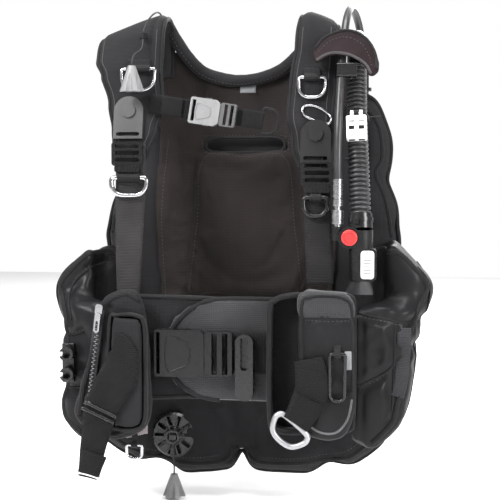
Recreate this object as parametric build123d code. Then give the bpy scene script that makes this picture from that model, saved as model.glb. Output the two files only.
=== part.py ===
"""Buoyancy compensator vest, jacket style, small size, in millimetres.

The origin is on the tank's axis at the middle of the tank band. +Z is up, the wearer faces -Y
(so the tank and its band are at the back, towards +Y) and the wearer's left is +X.
"""

import math
import os

from build123d import *

os.makedirs("parts", exist_ok=True)

# ---------------------------------------------------------------- driving dimensions
TANK_RADIUS = 92.0            # standard 184 mm cylinder
BAND_WIDTH = 50.0             # tank webbing
BAND_THICK = 3.0
RUNNING_GAP = 0.06            # radial clearance of a pin in its hole
LOOSE_GAP = 0.4               # clearance of a ring's bar in its loop, and between soft pieces

CELL_BACK = -106.0            # the air cell's face towards the tank
CELL_FRONT = -138.0
PANEL_FRONT = -146.0          # front of the back panel
LUMBAR_FRONT = -155.0         # front of the raised lumbar pad

PAD_THICK = 12.0              # shoulder pads
PAD_BACK_Y = -147.0           # middle of the pad behind the shoulder
SHOULDER_TOP = 300.0          # middle of the pad at its highest

CUMMERBUND_THICK = 4.0
WING_END_X = 150.0            # how near the middle the wings reach in front
BELT_Z = -120.0               # middle of the waist belt
BELT_Y = -295.8               # its webbing's middle
WEB_THICK = 1.8

CORRUGATED_RADIUS = 13.0
HOSE_RADIUS = 5.0             # low pressure hose
CORD_RADIUS = 1.1             # dump valve cords

pieces = {}


# ---------------------------------------------------------------- helpers
def outline(*points, radius):
    """A closed flat shape with rounded corners."""
    return make_face(FilletPolyline(*points, radius=radius, close=True))


def ribbon(*points, radius, thick):
    """A flat shape of even thickness along a path with rounded corners."""
    return make_face(offset(FilletPolyline(*points, radius=radius), amount=thick / 2))


def from_front(shape, y_back, y_front):
    """An X-Z shape carried from y_back forward to y_front."""
    return extrude(Plane.XZ.offset(-y_back) * shape, amount=y_back - y_front, dir=(0, -1, 0))


def from_side(shape, x_low, x_high):
    """A Y-Z shape carried along X."""
    return extrude(Plane.YZ.offset(x_low) * shape, amount=x_high - x_low, dir=(1, 0, 0))


def from_top(shape, z_low, z_high):
    """An X-Y shape carried up."""
    return extrude(Plane.XY.offset(z_low) * shape, amount=z_high - z_low, dir=(0, 0, 1))


def block(low, high, edge=0.0):
    """A box between two corners, with all its edges rounded."""
    size = [b - a for a, b in zip(low, high)]
    centre = [(a + b) / 2 for a, b in zip(low, high)]
    solid = Pos(*centre) * Box(*size)
    if edge:
        solid = fillet(solid.edges(), edge)
    return solid


def rod(start, end, radius, end_radius=None):
    """A round bar, or a cone where it has a second radius, between two points."""
    along = Vector(*end) - Vector(*start)
    base = Plane(origin=start, z_dir=along)
    if end_radius is None:
        return extrude(base * Circle(radius), amount=along.length)
    tip = Plane(origin=end, z_dir=along)
    return loft([base * Circle(radius), tip * Circle(end_radius)])


def corner_radii(points):
    """The largest arc that each corner of a route leaves room for."""
    places = [Vector(*p) for p in points]
    radii = []
    for before, here, after in zip(places, places[1:], places[2:]):
        run_in, run_out = here - before, after - here
        turn = math.radians(run_in.get_angle(run_out))
        radii.append(0.45 * min(run_in.length, run_out.length) / math.tan(turn / 2))
    return radii


def round_sweep(path, radius):
    """A round section carried along a path."""
    return sweep(Plane(origin=path @ 0, z_dir=path % 0) * Circle(radius), path=path)


def tube(points, radius):
    """A cord's or hose's solid: straight runs joined by arcs."""
    radii = corner_radii(points)
    return round_sweep(FilletPolyline(*points, radius=radii), radius)


def ring_solid(width, drop, rod_radius, corner, taper=0.92):
    """A bent rod ring hanging in the X-Z plane from a straight bar centred on the origin."""
    half = width / 2
    path = FilletPolyline(
        (0, 0, 0), (half, 0, 0), (half * taper, 0, -drop), (-half * taper, 0, -drop), (-half, 0, 0),
        radius=[0, rod_radius * 1.4, corner, corner, rod_radius * 1.4], close=True,
    )
    return round_sweep(path, rod_radius)


def ring_loop(width, rod_radius, tail):
    """Webbing sewn round a ring's bar on the X axis, with its tail going up behind the bar."""
    hole = rod_radius + LOOSE_GAP
    eye = Circle(hole + WEB_THICK)
    strip = Pos(hole + WEB_THICK / 2, tail / 2) * Rectangle(WEB_THICK, tail)
    return from_side(eye + strip - Circle(hole), -width / 2, width / 2)


def coil_spring(radius, height, turns, wire):
    """A spring standing on the X-Y plane."""
    path = Helix(pitch=height / turns, height=height, radius=radius)
    return sweep(Plane(origin=path @ 0, z_dir=path % 0) * Circle(wire), path=path, is_frenet=True)


def facing_front(solid, place):
    """Turn a piece drawn standing on the X-Y plane so that its top faces -Y, and set it down."""
    return Pos(*place) * Rot(90, 0, 0) * solid


# ---------------------------------------------------------------- tank band, saddle and carry handle
BAND_FLAT = 102.5             # how far forward the band's middle runs, across the saddle
BAND_OUTER = TANK_RADIUS + BAND_THICK
band_middle = TANK_RADIUS + BAND_THICK / 2
leave_x = band_middle * math.sin(math.radians(45))
flat_x = 2 * leave_x - BAND_FLAT
round_tank = CenterArc((0, 0), band_middle, -45, 270)
across = Polyline(round_tank @ 1, (-flat_x, -BAND_FLAT), (flat_x, -BAND_FLAT), round_tank @ 0)
band_middle_face = make_face([round_tank, across])


def band_section(thick):
    """The band seen from above: round the tank, then straight across in front of the saddle."""
    return offset(band_middle_face, amount=thick / 2) - offset(band_middle_face, amount=-thick / 2)


pieces["tank_band"] = from_top(band_section(BAND_THICK), -BAND_WIDTH / 2, BAND_WIDTH / 2)

SADDLE_INNER = TANK_RADIUS + 1.5
SADDLE_OUTER = 100.0
saddle_section = (Circle(SADDLE_OUTER) - Circle(SADDLE_INNER)) & (Pos(0, -80) * Rectangle(160, 60))
saddle_front = outline((-74, -90), (-74, 105), (-45, 128), (45, 128), (74, 105), (74, -90), radius=16)
band_slots = from_top(band_section(BAND_THICK + 2), -BAND_WIDTH / 2 - 1.5, BAND_WIDTH / 2 + 1.5)
saddle = from_top(saddle_section, -100, 140) & from_front(saddle_front, -40, -103)
for rib_x in (-48, 48):
    saddle = saddle - from_front(Pos(rib_x, -58) * SlotOverall(34, 10, rotation=90), -40, -103)
pieces["back_plate"] = saddle - band_slots

BUCKLE_BASE_TOP = 101.0
EAR_IN = 25.0
EAR_OUT = 29.0
LEVER_PIN = (-22.0, 107.0)
buckle_base = block((-33, 85, -EAR_OUT), (35, BUCKLE_BASE_TOP, EAR_OUT))
ear_shape = outline((-34, 96), (-34, 104), (-26, 113), (-17, 113), (-8, 104), (-8, 96), radius=3)
ears = from_top(ear_shape, EAR_IN, EAR_OUT) + from_top(ear_shape, -EAR_OUT, -EAR_IN)
band_core = Cylinder(BAND_OUTER + 0.1, 200)
pin_hole = Pos(*LEVER_PIN, 0) * Cylinder(2.5, 2 * EAR_OUT)
cam_frame = buckle_base + ears - band_core - pin_hole
lever_pin = Pos(*LEVER_PIN, 0) * Cylinder(2.5, 2 * EAR_OUT)
pieces["cam_buckle_frame"] = Compound(children=[*cam_frame.solids(), lever_pin])
lever_half = EAR_IN - 0.5
lever_arm = ribbon((-20, 108.5), (10, 107.5), (38, 102.5), radius=60, thick=4)
lever_shape = lever_arm + Pos(*LEVER_PIN) * Circle(5.4) - Pos(*LEVER_PIN) * Circle(2.5 + RUNNING_GAP)
pieces["cam_lever"] = from_top(lever_shape, -lever_half, lever_half)

handle_path = ((-62, -135.4), (-46, -135.4), (-34, -104), (34, -104), (46, -135.4), (62, -135.4))
pieces["carry_handle"] = from_top(ribbon(*handle_path, radius=9, thick=3.4), 166, 194)

# ---------------------------------------------------------------- air cell, back panel and collar
cell_outline = outline(
    (-66, 148), (-92, 208), (-142, 208), (-152, 160), (-150, 90), (-180, 66), (-193, 18), (-188, -60),
    (-196, -150), (-202, -258), (-150, -298), (-88, -312), (-26, -306), (-17, -284), (2, -284), (8, -304),
    (70, -305), (140, -294), (177, -258), (182, -215), (194, -150), (192, -60), (200, 10), (192, 62),
    (177, 96), (185, 116), (184, 146), (162, 200), (116, 208), (66, 148),
    radius=6,
)
pieces["air_cell"] = from_front(cell_outline, CELL_BACK, CELL_FRONT)

collar_path = FilletPolyline(
    (-101, -151, 292), (-66, -151, 236), (-10, -151, 220), (52, -151, 232),
    (92, -151, 282), radius=[42, 90, 48],
)
pieces["collar_roll"] = round_sweep(collar_path, 7.5)

panel_outline = outline(
    (-118, -78), (-124, 60), (-116, 160), (-150, 210), (-150, 240), (-92, 262), (-60, 232),
    (-10, 217), (48, 229),
    (84, 256), (146, 240), (146, 210), (116, 160), (124, 60), (118, -78),
    radius=8,
)
handhold = from_front(Pos(0, 137) * SlotOverall(106, 17), CELL_FRONT, PANEL_FRONT - 1)
back_panel = from_front(panel_outline, CELL_FRONT - LOOSE_GAP, PANEL_FRONT) - handhold
lumbar_outline = outline((-82, -60), (-61, 126), (61, 126), (84, -58), radius=9)
lumbar_pad = from_front(lumbar_outline, PANEL_FRONT, LUMBAR_FRONT)


# ---------------------------------------------------------------- shoulder pads
PAD_ARCH_Y = -216.0           # middle of the pad where it turns down in front
PAD_KNEE = (-228.0, 205.0)    # the pad leans further forward below here
PAD_FOOT = (-250.0, 100.0)
UPPER_LEAN = math.degrees(math.atan2(PAD_ARCH_Y - PAD_KNEE[0], SHOULDER_TOP - PAD_KNEE[1]))
LOWER_LEAN = math.degrees(math.atan2(PAD_KNEE[0] - PAD_FOOT[0], PAD_KNEE[1] - PAD_FOOT[1]))


def pad_lean(z):
    """How far the pad leans forward at a height, in degrees."""
    return UPPER_LEAN if z > PAD_KNEE[1] else LOWER_LEAN


def pad_surface(z):
    """Y of the front of a shoulder pad."""
    lean = math.radians(pad_lean(z))
    middle = PAD_KNEE[0] - (PAD_KNEE[1] - z) * math.tan(lean)
    return middle - PAD_THICK / 2 / math.cos(lean)


def shoulder_pad(front_outline):
    """A pad that comes up behind the shoulder, arches over it and runs down in front."""
    arch = ribbon(
        (PAD_BACK_Y, 232), (PAD_BACK_Y, SHOULDER_TOP), (PAD_ARCH_Y, SHOULDER_TOP), PAD_KNEE, PAD_FOOT,
        radius=[31, 31, 200], thick=PAD_THICK,
    )
    return from_side(arch, -190, 190) & from_front(front_outline, -100, -300)


right_pad_outline = outline(
    (-104, 330), (-104, 262), (-93, 200), (-108, 160), (-113, 128), (-154, 128), (-160, 190),
    (-170, 222), (-183, 270),
    (-183, 330), radius=5,
)
left_pad_outline = outline(
    (96, 330), (96, 262), (78, 215), (66, 160), (80, 112), (122, 112), (123, 200), (128, 240),
    (128, 330), radius=5,
)
right_pad = shoulder_pad(right_pad_outline) - pieces["collar_roll"]
left_pad = shoulder_pad(left_pad_outline) - pieces["collar_roll"]
pieces["shoulder_pads"] = Compound(children=[*right_pad.solids(), *left_pad.solids()])
pieces["back_panel"] = back_panel + lumbar_pad - pieces["collar_roll"] - right_pad - left_pad


# ---------------------------------------------------------------- shoulder straps and their hardware
STRAP_LEAN = 2.6


def strap_line(z):
    """Y of the middle of a shoulder strap's webbing, which leans forward as it comes down."""
    return -257.0 - (120.0 - z) * math.tan(math.radians(STRAP_LEAN))


def shoulder_strap(centre_top, centre_low, width, z_top, z_low):
    """Webbing from the ladder adjuster down to the hip."""
    half_thick = WEB_THICK / 2
    side = Polygon(
        (strap_line(z_top) - half_thick, z_top), (strap_line(z_top) + half_thick, z_top),
        (strap_line(z_low) + half_thick, z_low), (strap_line(z_low) - half_thick, z_low), align=None,
    )
    half = width / 2
    front = Polygon(
        (centre_top - half, z_top), (centre_top + half, z_top),
        (centre_low + half, z_low), (centre_low - half, z_low), align=None,
    )
    return from_side(side, -200, 200) & from_front(front, -240, -300)


right_strap = shoulder_strap(-131, -133, 39, 138, -70)
left_strap = shoulder_strap(105, 108, 34, 109, -38)
pieces["shoulder_straps"] = Compound(children=[*right_strap.solids(), *left_strap.solids()])

PLATE_WIDTH = 38.0
PLATE_HEIGHT = 36.0
plates = []
for x, z in ((-136.0, 178.0), (103.0, 147.0)):
    foot = Pos(0, -PLATE_HEIGHT / 2) * Rectangle(PLATE_WIDTH, PLATE_HEIGHT)
    slot = Pos(0, 6 - PLATE_HEIGHT) * SlotOverall(PLATE_WIDTH - 8, 5)
    plate = from_front(Circle(PLATE_WIDTH / 2) + foot - slot, 0, -4) + from_front(Circle(9), -4, -6.5)
    plates.append(Pos(x, pad_surface(z) - 0.8, z) * Rot(-LOWER_LEAN, 0, 0) * plate)
pieces["rotating_plates"] = Compound(children=plates)

LADDER_WIDTH = 40.0
ladders = []
for x, z in ((-133.5, 124.0), (105.5, 99.0)):
    ladder = from_front(RectangleRounded(LADDER_WIDTH, 30, 4), 2.5, -2.5)
    for bar_z in (-7.5, 1.5, 10):
        ladder = ladder - from_front(Pos(0, bar_z) * SlotOverall(LADDER_WIDTH - 9, 5.5), 4, -4)
    ladder = ladder + from_front(Pos(0, -18.5) * RectangleRounded(32, 9, 3), 1.5, -4.5)
    for groove in range(7):
        ladder = ladder - Pos(groove * 4 - 12, -4.5, -18.5) * Box(1.4, 1.6, 12)
    ladders.append(Pos(x, strap_line(z) - 5.2, z) * ladder)
pieces["ladder_adjusters"] = Compound(children=ladders)

loops = []


def hang_ring(name, x, z, surface_y, lean, width, drop, rod_radius, corner, tail):
    """A ring in a webbing loop on a leaning surface. Its bar is the axis that it swings on."""
    bar_y = surface_y - (rod_radius + LOOSE_GAP + WEB_THICK + 0.6)
    set_down = Pos(x, bar_y, z) * Rot(-lean, 0, 0)
    pieces[name] = set_down * ring_solid(width, drop, rod_radius, corner)
    loops.append(set_down * ring_loop(width - 4 * rod_radius - 4, rod_radius, tail))


hang_ring("upper_ring_right", -125, 232, pad_surface(232), UPPER_LEAN, 44, 27, 2.2, 15, 13)
hang_ring("upper_ring_left", 97, 219, pad_surface(219), UPPER_LEAN, 34, 25, 2.2, 13, 13)
hang_ring("lower_ring_right", -131, 94, strap_line(94) - 0.9, STRAP_LEAN, 46, 22, 3.0, 15, 4)
hang_ring("lower_ring_left", 104, 70, strap_line(70) - 0.9, STRAP_LEAN, 30, 23, 2.8, 13, 4)


# ---------------------------------------------------------------- side release buckles
def side_release(webbing, female_length, male_length, thick):
    """Female half, male half and two prongs along +X, with the joint line at the origin.

    The prongs are the two arms that the fingers squeeze. Each turns about its root.
    """
    half = webbing / 2 + 4
    female_outline = outline(
        (-female_length, -half), (-female_length, half), (-6, half), (0, half - 5), (0, 5 - half),
        (-6, -half), radius=3,
    )
    inside = thick - 4.4
    depth = 0.74 * female_length
    cavity = Pos(1 - depth / 2, 0, 0) * Box(depth + 2, inside, 2 * half - 7)
    windows = Pos(-0.45 * female_length, 0, 0) * Box(0.34 * female_length, inside, 2 * half + 4)
    webbing_slot = Pos(5 - female_length, 0, 0) * Box(4.5, thick + 2, webbing + 1.5)
    female = from_front(female_outline, thick / 2, -thick / 2) - cavity - windows - webbing_slot
    base = Pos(0.5 + male_length / 2, 0, 0) * Box(male_length, thick - 2, webbing + 4)
    base = fillet(base.edges().filter_by(Axis.Y), 3)
    for share in (0.36, 0.74):
        base = base - Pos(0.5 + male_length * share, 0, 0) * Box(0.2 * male_length, thick, webbing + 0.5)
    tongue_length = 0.5 * female_length
    tongue = Pos(1 - tongue_length / 2, 0, 0) * Box(tongue_length, inside - 1, webbing * 0.28)
    root_z = webbing / 2 - 3.5
    arm = outline(
        (-1.6, root_z - 1.6), (-1.6, root_z + 1.6), (-0.3 * female_length, half - 4.2),
        (-0.34 * female_length, half + 1.2), (-0.5 * female_length, half + 1.2),
        (-0.56 * female_length, half - 7),
        (-0.52 * female_length, half - 9), (-0.3 * female_length, half - 9.5), radius=0.9,
    )
    upper = from_front(arm, inside / 2 - 0.5, 0.5 - inside / 2)
    return female, base + tongue, upper, mirror(upper, Plane.XY), (-3.2, root_z)


CHEST = Pos(-17.0, -254.0, 173.5) * Rot(0, 9, 0)
WAIST = Pos(-28.0, -303.4, BELT_Z)
CHEST_SIZE = (25.0, 38.0, 20.0, 11.0)
WAIST_SIZE = (50.0, 62.0, 34.0, 13.0)
for name, place, size in (("chest", CHEST, CHEST_SIZE), ("waist", WAIST, WAIST_SIZE)):
    female, male, prong_upper, prong_lower, root = side_release(*size)
    pieces[name + "_buckle_female"] = place * female
    pieces[name + "_buckle_male"] = place * male
    pieces[name + "_prong_upper"] = place * prong_upper
    pieces[name + "_prong_lower"] = place * prong_lower

# chest webbing, drawn in the buckle's own place
chest_right_path = ((-92, 11), (-60, 10), (-43, 7.3), (-34.6, 7.0), (-33.2, 1.0))
chest_left_path = ((15.2, 0.5), (15.3, 6.3), (25, 5.8), (36, 0), (50, 0))
CHEST_RING_X = 54.0
CHEST_ROD = 2.0
eye = Pos(CHEST_RING_X, 0) * Circle(CHEST_ROD + LOOSE_GAP + WEB_THICK)
eye_hole = Pos(CHEST_RING_X, 0) * Circle(CHEST_ROD + LOOSE_GAP)
chest_left_shape = ribbon(*chest_left_path, radius=1.6, thick=WEB_THICK) + eye - eye_hole
chest_right = CHEST * from_top(ribbon(*chest_right_path, radius=1.2, thick=WEB_THICK), -12.5, 12.5)
chest_left = CHEST * from_top(chest_left_shape, -11, 11)
pieces["chest_webbing"] = Compound(children=[chest_right, chest_left])
chest_ring = CHEST * Pos(CHEST_RING_X, 0, 0) * Rot(0, -90, 0) * ring_solid(32, 20, CHEST_ROD, 12)

# waist webbing, one half each side of the buckle, and the slider that keeps the adjusted length
waist_right_path = ((-121, 7.6), (-60, 7.6), (-57, 7.4), (-57, 1.5))
waist_left_path = ((25.6, 1.0), (27.5, 6.2), (34, 7.6), (174, 7.6))
waist_right = WAIST * from_top(ribbon(*waist_right_path, radius=1.2, thick=WEB_THICK), -25, 25)
waist_left = WAIST * from_top(ribbon(*waist_left_path, radius=1.6, thick=WEB_THICK), -25, 25)
pieces["waist_webbing"] = Compound(children=[waist_right, waist_left])
slider_shape = outline((10, -96), (10, -178), (32, -178), (32, -96), radius=10)
webbing_way = block((0, BELT_Y - 1.4, BELT_Z - 26), (40, BELT_Y + 1.4, BELT_Z + 26))
window = from_front(Pos(21, BELT_Z) * RectangleRounded(9, 40, 3), BELT_Y - 3, -320)
pieces["waist_slider"] = from_front(slider_shape, BELT_Y + 3.2, -306) - webbing_way - window

# ---------------------------------------------------------------- hip wings and cummerbund
# seen from above each wing leaves the cell's front, goes round the side and ends beside the belly
right_wing_plan = outline(
    (-172, -139.5), (-215, -140), (-238, -170), (-240, -222), (-208, -276), (-140, -299),
    (-140, -277), (-180, -258),
    (-191, -214), (-190, -180), (-172, -162), radius=7,
)
left_wing_plan = outline(
    (172, -139.5), (222, -140), (248, -170), (250, -222), (214, -276), (140, -299), (140, -277), (186, -258),
    (197, -214), (196, -180), (172, -162), radius=7,
)
right_wing_front = outline(
    (-WING_END_X, -60), (-168, -8), (-186, 4), (-226, -30), (-237, -50), (-218, -95),
    (-214, -150), (-226, -205),
    (-190, -236), (-WING_END_X, -222), radius=5,
)
left_wing_front = outline(
    (WING_END_X, -60), (168, 0), (199, 12), (249, -40), (228, -95), (221, -150), (215, -185),
    (207, -208), (178, -236),
    (WING_END_X, -226), radius=5,
)
# the wings' tops sit further back, below the inflator
wing_side = outline((-134, 40), (-246, 40), (-252, -52), (-302, -74), (-302, -260), (-134, -260), radius=10)
wings = []
for plan, front in ((right_wing_plan, right_wing_front), (left_wing_plan, left_wing_front)):
    wing = from_top(plan, -260, 40) & from_front(front, -130, -310) & from_side(wing_side, -260, 260)
    wings.extend(wing.solids())
pieces["hip_wings"] = Compound(children=wings)

right_band_front = outline((-148, -50), (44, -54), (44, -176), (-148, -184), radius=8)
left_band_front = outline(
    (148, -52), (-30, -54), (-72, -92), (-78, -122), (-66, -158), (-30, -180), (148, -182), radius=14,
)
right_band_plan = ribbon((-147, -279), (-90, -283), (44, -283.6), radius=90, thick=CUMMERBUND_THICK)
left_band_plan = ribbon((-82, -289.4), (60, -289.6), (148, -285), radius=90, thick=CUMMERBUND_THICK)
right_band = from_top(right_band_plan, -200, -40) & from_front(right_band_front, -270, -300)
left_band = from_top(left_band_plan, -200, -40) & from_front(left_band_front, -270, -300)
pieces["cummerbund"] = Compound(children=[*right_band.solids(), *left_band.solids()])

# ---------------------------------------------------------------- right hip pocket with its zipper
POCKET_BACK = -299.4
POCKET_FRONT = -318.0
pocket_outline = outline(
    (-158, -58), (-112, -44), (-98, -100), (-96, -205), (-140, -228), (-192, -205), (-180, -140), radius=7,
)
pocket = from_front(pocket_outline, POCKET_BACK, POCKET_FRONT)
ZIP_TOP = (-155.5, -66.0)
ZIP_LOW = (-170.5, -184.0)
ZIP_FRONT = POCKET_FRONT - 2.4
zip_tape = make_face(offset(Line(ZIP_TOP, ZIP_LOW), amount=5))
zip_teeth = make_face(offset(Line(ZIP_TOP, ZIP_LOW), amount=2))
zipper = from_front(zip_tape, POCKET_FRONT, POCKET_FRONT - 1)
zipper = zipper + from_front(zip_teeth, POCKET_FRONT - 1, ZIP_FRONT)
pieces["cargo_pocket"] = Compound(children=[pocket, zipper])
zip_turn = math.degrees(math.atan2(ZIP_TOP[0] - ZIP_LOW[0], ZIP_TOP[1] - ZIP_LOW[1]))
zip_body = from_front(RectangleRounded(9, 13, 3), -0.4, -3.4)
pull_hole = Pos(0, -4) * SlotOverall(12, 3, rotation=90)
zip_pull = from_front(Pos(0, -16) * (RectangleRounded(7, 24, 3) - pull_hole), -3.4, -5)
pieces["zipper_slider"] = Pos(ZIP_TOP[0], ZIP_FRONT, ZIP_TOP[1]) * Rot(0, zip_turn, 0) * (zip_body + zip_pull)

# ---------------------------------------------------------------- weight holders, pouches and pull handles
HOLDER_WALL = 3.0


def weight_holder(low, high):
    """A soft tray that is open to the front."""
    cavity_low = (low[0] + HOLDER_WALL, high[1] - 60, low[2] + HOLDER_WALL)
    cavity_high = (high[0] - HOLDER_WALL, high[1] - HOLDER_WALL, high[2] - HOLDER_WALL)
    return block(low, high, 1.2) - block(cavity_low, cavity_high)


right_holder = weight_holder((-143, -331, -214), (-95.5, POCKET_FRONT - 0.6, -70))
pieces["weight_pouch_right"] = block((-138.5, -335, -209.5), (-100, -322.2, -74.5), 4)
left_holder = weight_holder((52, -322, -212), (156, BELT_Y - 1.6, -44))
pieces["weight_holders"] = Compound(children=[right_holder, left_holder])
pouch_body = block((91, -329.5, -207.5), (151.5, -301.2, -48.5), 5)
flap_front = outline((88, -40), (146, -44), (156, -70), (158, -205), (140, -218), (98, -212), radius=7)
pouch_flap = from_front(flap_front, -328, -334)
left_pouch = pouch_body + pouch_flap

# each pull handle: a webbing strap with a ring sewn into its end
STRAP_BACK = -336.0
STRAP_FRONT = -338.4
HANDLE_Y = -338.0
right_strap_shape = Polygon((-128, -93), (-100, -140), (-133, -197), (-172, -176), align=None)
right_tail_shape = Polygon((-172, -177), (-134, -196), (-150, -268), (-178, -258), align=None)
left_strap_shape = Polygon((86, -118), (121, -118), (106, -206), (74, -191), align=None)
right_ring = Pos(-166, HANDLE_Y, -270) * Rot(0, -20, 0) * ring_solid(33, 32, 3.2, 13, taper=0.7)
left_ring = Pos(86, HANDLE_Y, -202) * Rot(0, 24, 0) * ring_solid(42, 34, 3.4, 15, taper=0.75)
for side_name, shape, ring in (
    ("right", right_strap_shape + right_tail_shape, right_ring), ("left", left_strap_shape, left_ring),
):
    strap = from_front(shape, STRAP_BACK, STRAP_FRONT) - ring
    pieces["pull_handle_" + side_name] = Compound(children=[*strap.solids(), ring])

hang_ring("pocket_ring", 137, -112, -334.3, 0, 18, 56, 2.0, 7, 8)
pieces["weight_pouch_left"] = Compound(children=[left_pouch, loops.pop()])
hang_ring("hip_ring", -116, -236, -302.6, 0, 20, 17, 1.8, 7, 17)

# hose clip on the right hip: a foot with two snap-in jaws
fitting = block((-214, -286, -164), (-198, -281.5, -114), 1.5)
for jaw_z in (-126, -152):
    jaw = from_front(Circle(9) - Circle(5.5) - Pos(-7, 0) * Rectangle(10, 6), -286, -299)
    fitting = fitting + Pos(-205, 0, jaw_z) * jaw
pieces["hose_clip_hip"] = fitting


# ---------------------------------------------------------------- dump valves
def dump_valve(base_radius, poppet_radius):
    """Base ring, capped grille, poppet and spring, drawn standing on the X-Y plane."""
    seat = Circle(base_radius) - Circle(poppet_radius + 0.6)
    base = extrude(seat, amount=3)
    poppet = Pos(0, 0, 0.6) * Cylinder(poppet_radius, 2, align=(Align.CENTER, Align.CENTER, Align.MIN))
    dome = Pos(0, 0, 3.2) * Cylinder(base_radius, 9.6, align=(Align.CENTER, Align.CENTER, Align.MIN))
    dome = chamfer(dome.faces().sort_by(Axis.Z)[-1].edges(), 3)
    dome = dome - Pos(0, 0, 3.2) * Cylinder(base_radius - 3, 7.4, align=(Align.CENTER, Align.CENTER, Align.MIN))
    slot_middle = 0.66 * base_radius
    for index in range(10):
        slot = Pos(slot_middle, 0, 10) * Box(0.42 * base_radius, 0.16 * base_radius, 8)
        dome = dome - Rot(0, 0, index * 36) * slot
    spring = Pos(0, 0, 3.6) * coil_spring(0.3 * base_radius, 5.4, 2.5, 0.7)
    cap = Pos(0, 0, 12) * Cylinder(0.38 * base_radius, 5.5, align=(Align.CENTER, Align.CENTER, Align.MIN))
    cap = fillet(cap.faces().sort_by(Axis.Z)[-1].edges(), 2)
    return base, dome + cap, poppet, spring


def pull_knob(top, length, radius):
    """A fluted cone on the end of a cord, hanging from its top point."""
    low = (top[0], top[1], top[2] - length)
    knob = rod(top, low, radius * 0.3, radius)
    for index in range(6):
        turn = math.radians(60 * index + 30)
        groove_low = (top[0] + radius * math.cos(turn), top[1] + radius * math.sin(turn), top[2] - length - 1)
        groove_top = (top[0] + radius * 0.62 * math.cos(turn), top[1] + radius * 0.62 * math.sin(turn), top[2])
        knob = knob - rod(groove_top, groove_low, radius * 0.2, radius * 0.3)
    return knob


LOWER_VALVE = (-98.6, CELL_FRONT - 0.4, -258.7)
lower_place = Pos(*LOWER_VALVE) * Rot(90, 0, 0)
SHOULDER_VALVE = (-118.0, CELL_BACK + 0.4, 178.0)
shoulder_place = Pos(*SHOULDER_VALVE) * Rot(-90, 0, 0)
lower_base, lower_grille, lower_poppet, lower_spring = dump_valve(31.0, 21.0)
shoulder_base, shoulder_grille = dump_valve(24.0, 16.0)[:2]
pieces["lower_dump_poppet"] = lower_place * lower_poppet
shoulder_solids = [shoulder_place * shoulder_base, shoulder_place * shoulder_grille]
pieces["shoulder_dump_valve"] = Compound(children=shoulder_solids)

lower_cord_y = LOWER_VALVE[1] - 19.2
lower_route = (
    (-98.6, lower_cord_y, -256.4), (-98.3, lower_cord_y, -275), (-97.2, lower_cord_y + 0.9, -293),
    (-97.2, lower_cord_y + 0.9, -311),
)
pieces["lower_dump_cord"] = tube(lower_route, CORD_RADIUS)
pieces["lower_dump_knob"] = pull_knob(lower_route[-1], 30, 15.5)
cord_keeper = block((-103.6, lower_cord_y - 3, -264), (-93.6, LOWER_VALVE[1] - 16.5, -255.6), 0.8)
keeper_hole = rod((-98.6, lower_cord_y, -255), (-98.6, lower_cord_y, -270), CORD_RADIUS + 0.5)
lower_cover = lower_place * lower_grille + cord_keeper - keeper_hole
pieces["lower_dump_valve"] = Compound(children=[lower_place * lower_base, lower_cover])

shoulder_route = (
    (-118, -90, 196), (-117, -104, 226), (-114, -122, 256), (-111, -137, 284), (-109, -153, 303),
    (-109, -182, 311), (-111, -210, 304.5), (-116, -227.5, 291.5), (-119, -232.5, 279),
)
pieces["shoulder_dump_cord"] = tube(shoulder_route, CORD_RADIUS)
GUIDE = (-119.0, -232.5, 279.0)
guide_low = (GUIDE[0], GUIDE[1], GUIDE[2] - 8.5)
guide_foot = block(
    (GUIDE[0] - 6, GUIDE[1] + 2.2, guide_low[2]), (GUIDE[0] + 6, pad_surface(270) - 1.4, GUIDE[2]),
)
cord_guide = rod(GUIDE, guide_low, 3.2) + guide_foot - rod(GUIDE, guide_low, CORD_RADIUS + 0.5)
pull_route = (
    (GUIDE[0], GUIDE[1], GUIDE[2] - 1), (GUIDE[0], GUIDE[1], GUIDE[2] - 16), (-120, -243, 254),
    (-125, -257, 249),
    (-127, -262, 240), (-127, -262, 234),
)
pieces["shoulder_pull_cord"] = tube(pull_route, CORD_RADIUS)
pieces["shoulder_dump_knob"] = pull_knob(pull_route[-1], 32, 15.5)

# ---------------------------------------------------------------- corrugated hose, elbow and inflator
corrugated_route = (
    (151, -214, 234), (152, -229, 190), (154.5, -247, 140), (157.5, -260, 94), (159.5, -268, 50),
)
pieces["corrugated_hose"] = tube(corrugated_route, CORRUGATED_RADIUS)
hose_top = Vector(*corrugated_route[0])
top_run = (hose_top - Vector(*corrugated_route[1])).normalized()
elbow_bend = hose_top + top_run * 38
elbow_foot = (151, -122, 208.6)
elbow_path = FilletPolyline(elbow_foot, (151, -122, 268), elbow_bend, hose_top, radius=[30, 16])
elbow = sweep(Plane(origin=elbow_path @ 0, z_dir=elbow_path % 0) * Circle(12), path=elbow_path)
elbow_flange = rod(elbow_foot, (151, -122, 213), 15.5)
shoulder_elbow = elbow + elbow_flange
hose_low = Vector(*corrugated_route[-1])
low_run = (hose_low - Vector(*corrugated_route[-2])).normalized()
cuff_end = hose_low + low_run * 18
hose_cuff = rod(hose_low, cuff_end, 14.2)
tie_start = hose_low + low_run * 5
tie_head = Pos(*(tie_start + low_run * 2.5)) * Pos(-5, -16.5, 0) * Box(7, 4, 6)
hose_tie = rod(tie_start, tie_start + low_run * 5, 15.4) + tie_head - hose_cuff

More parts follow.
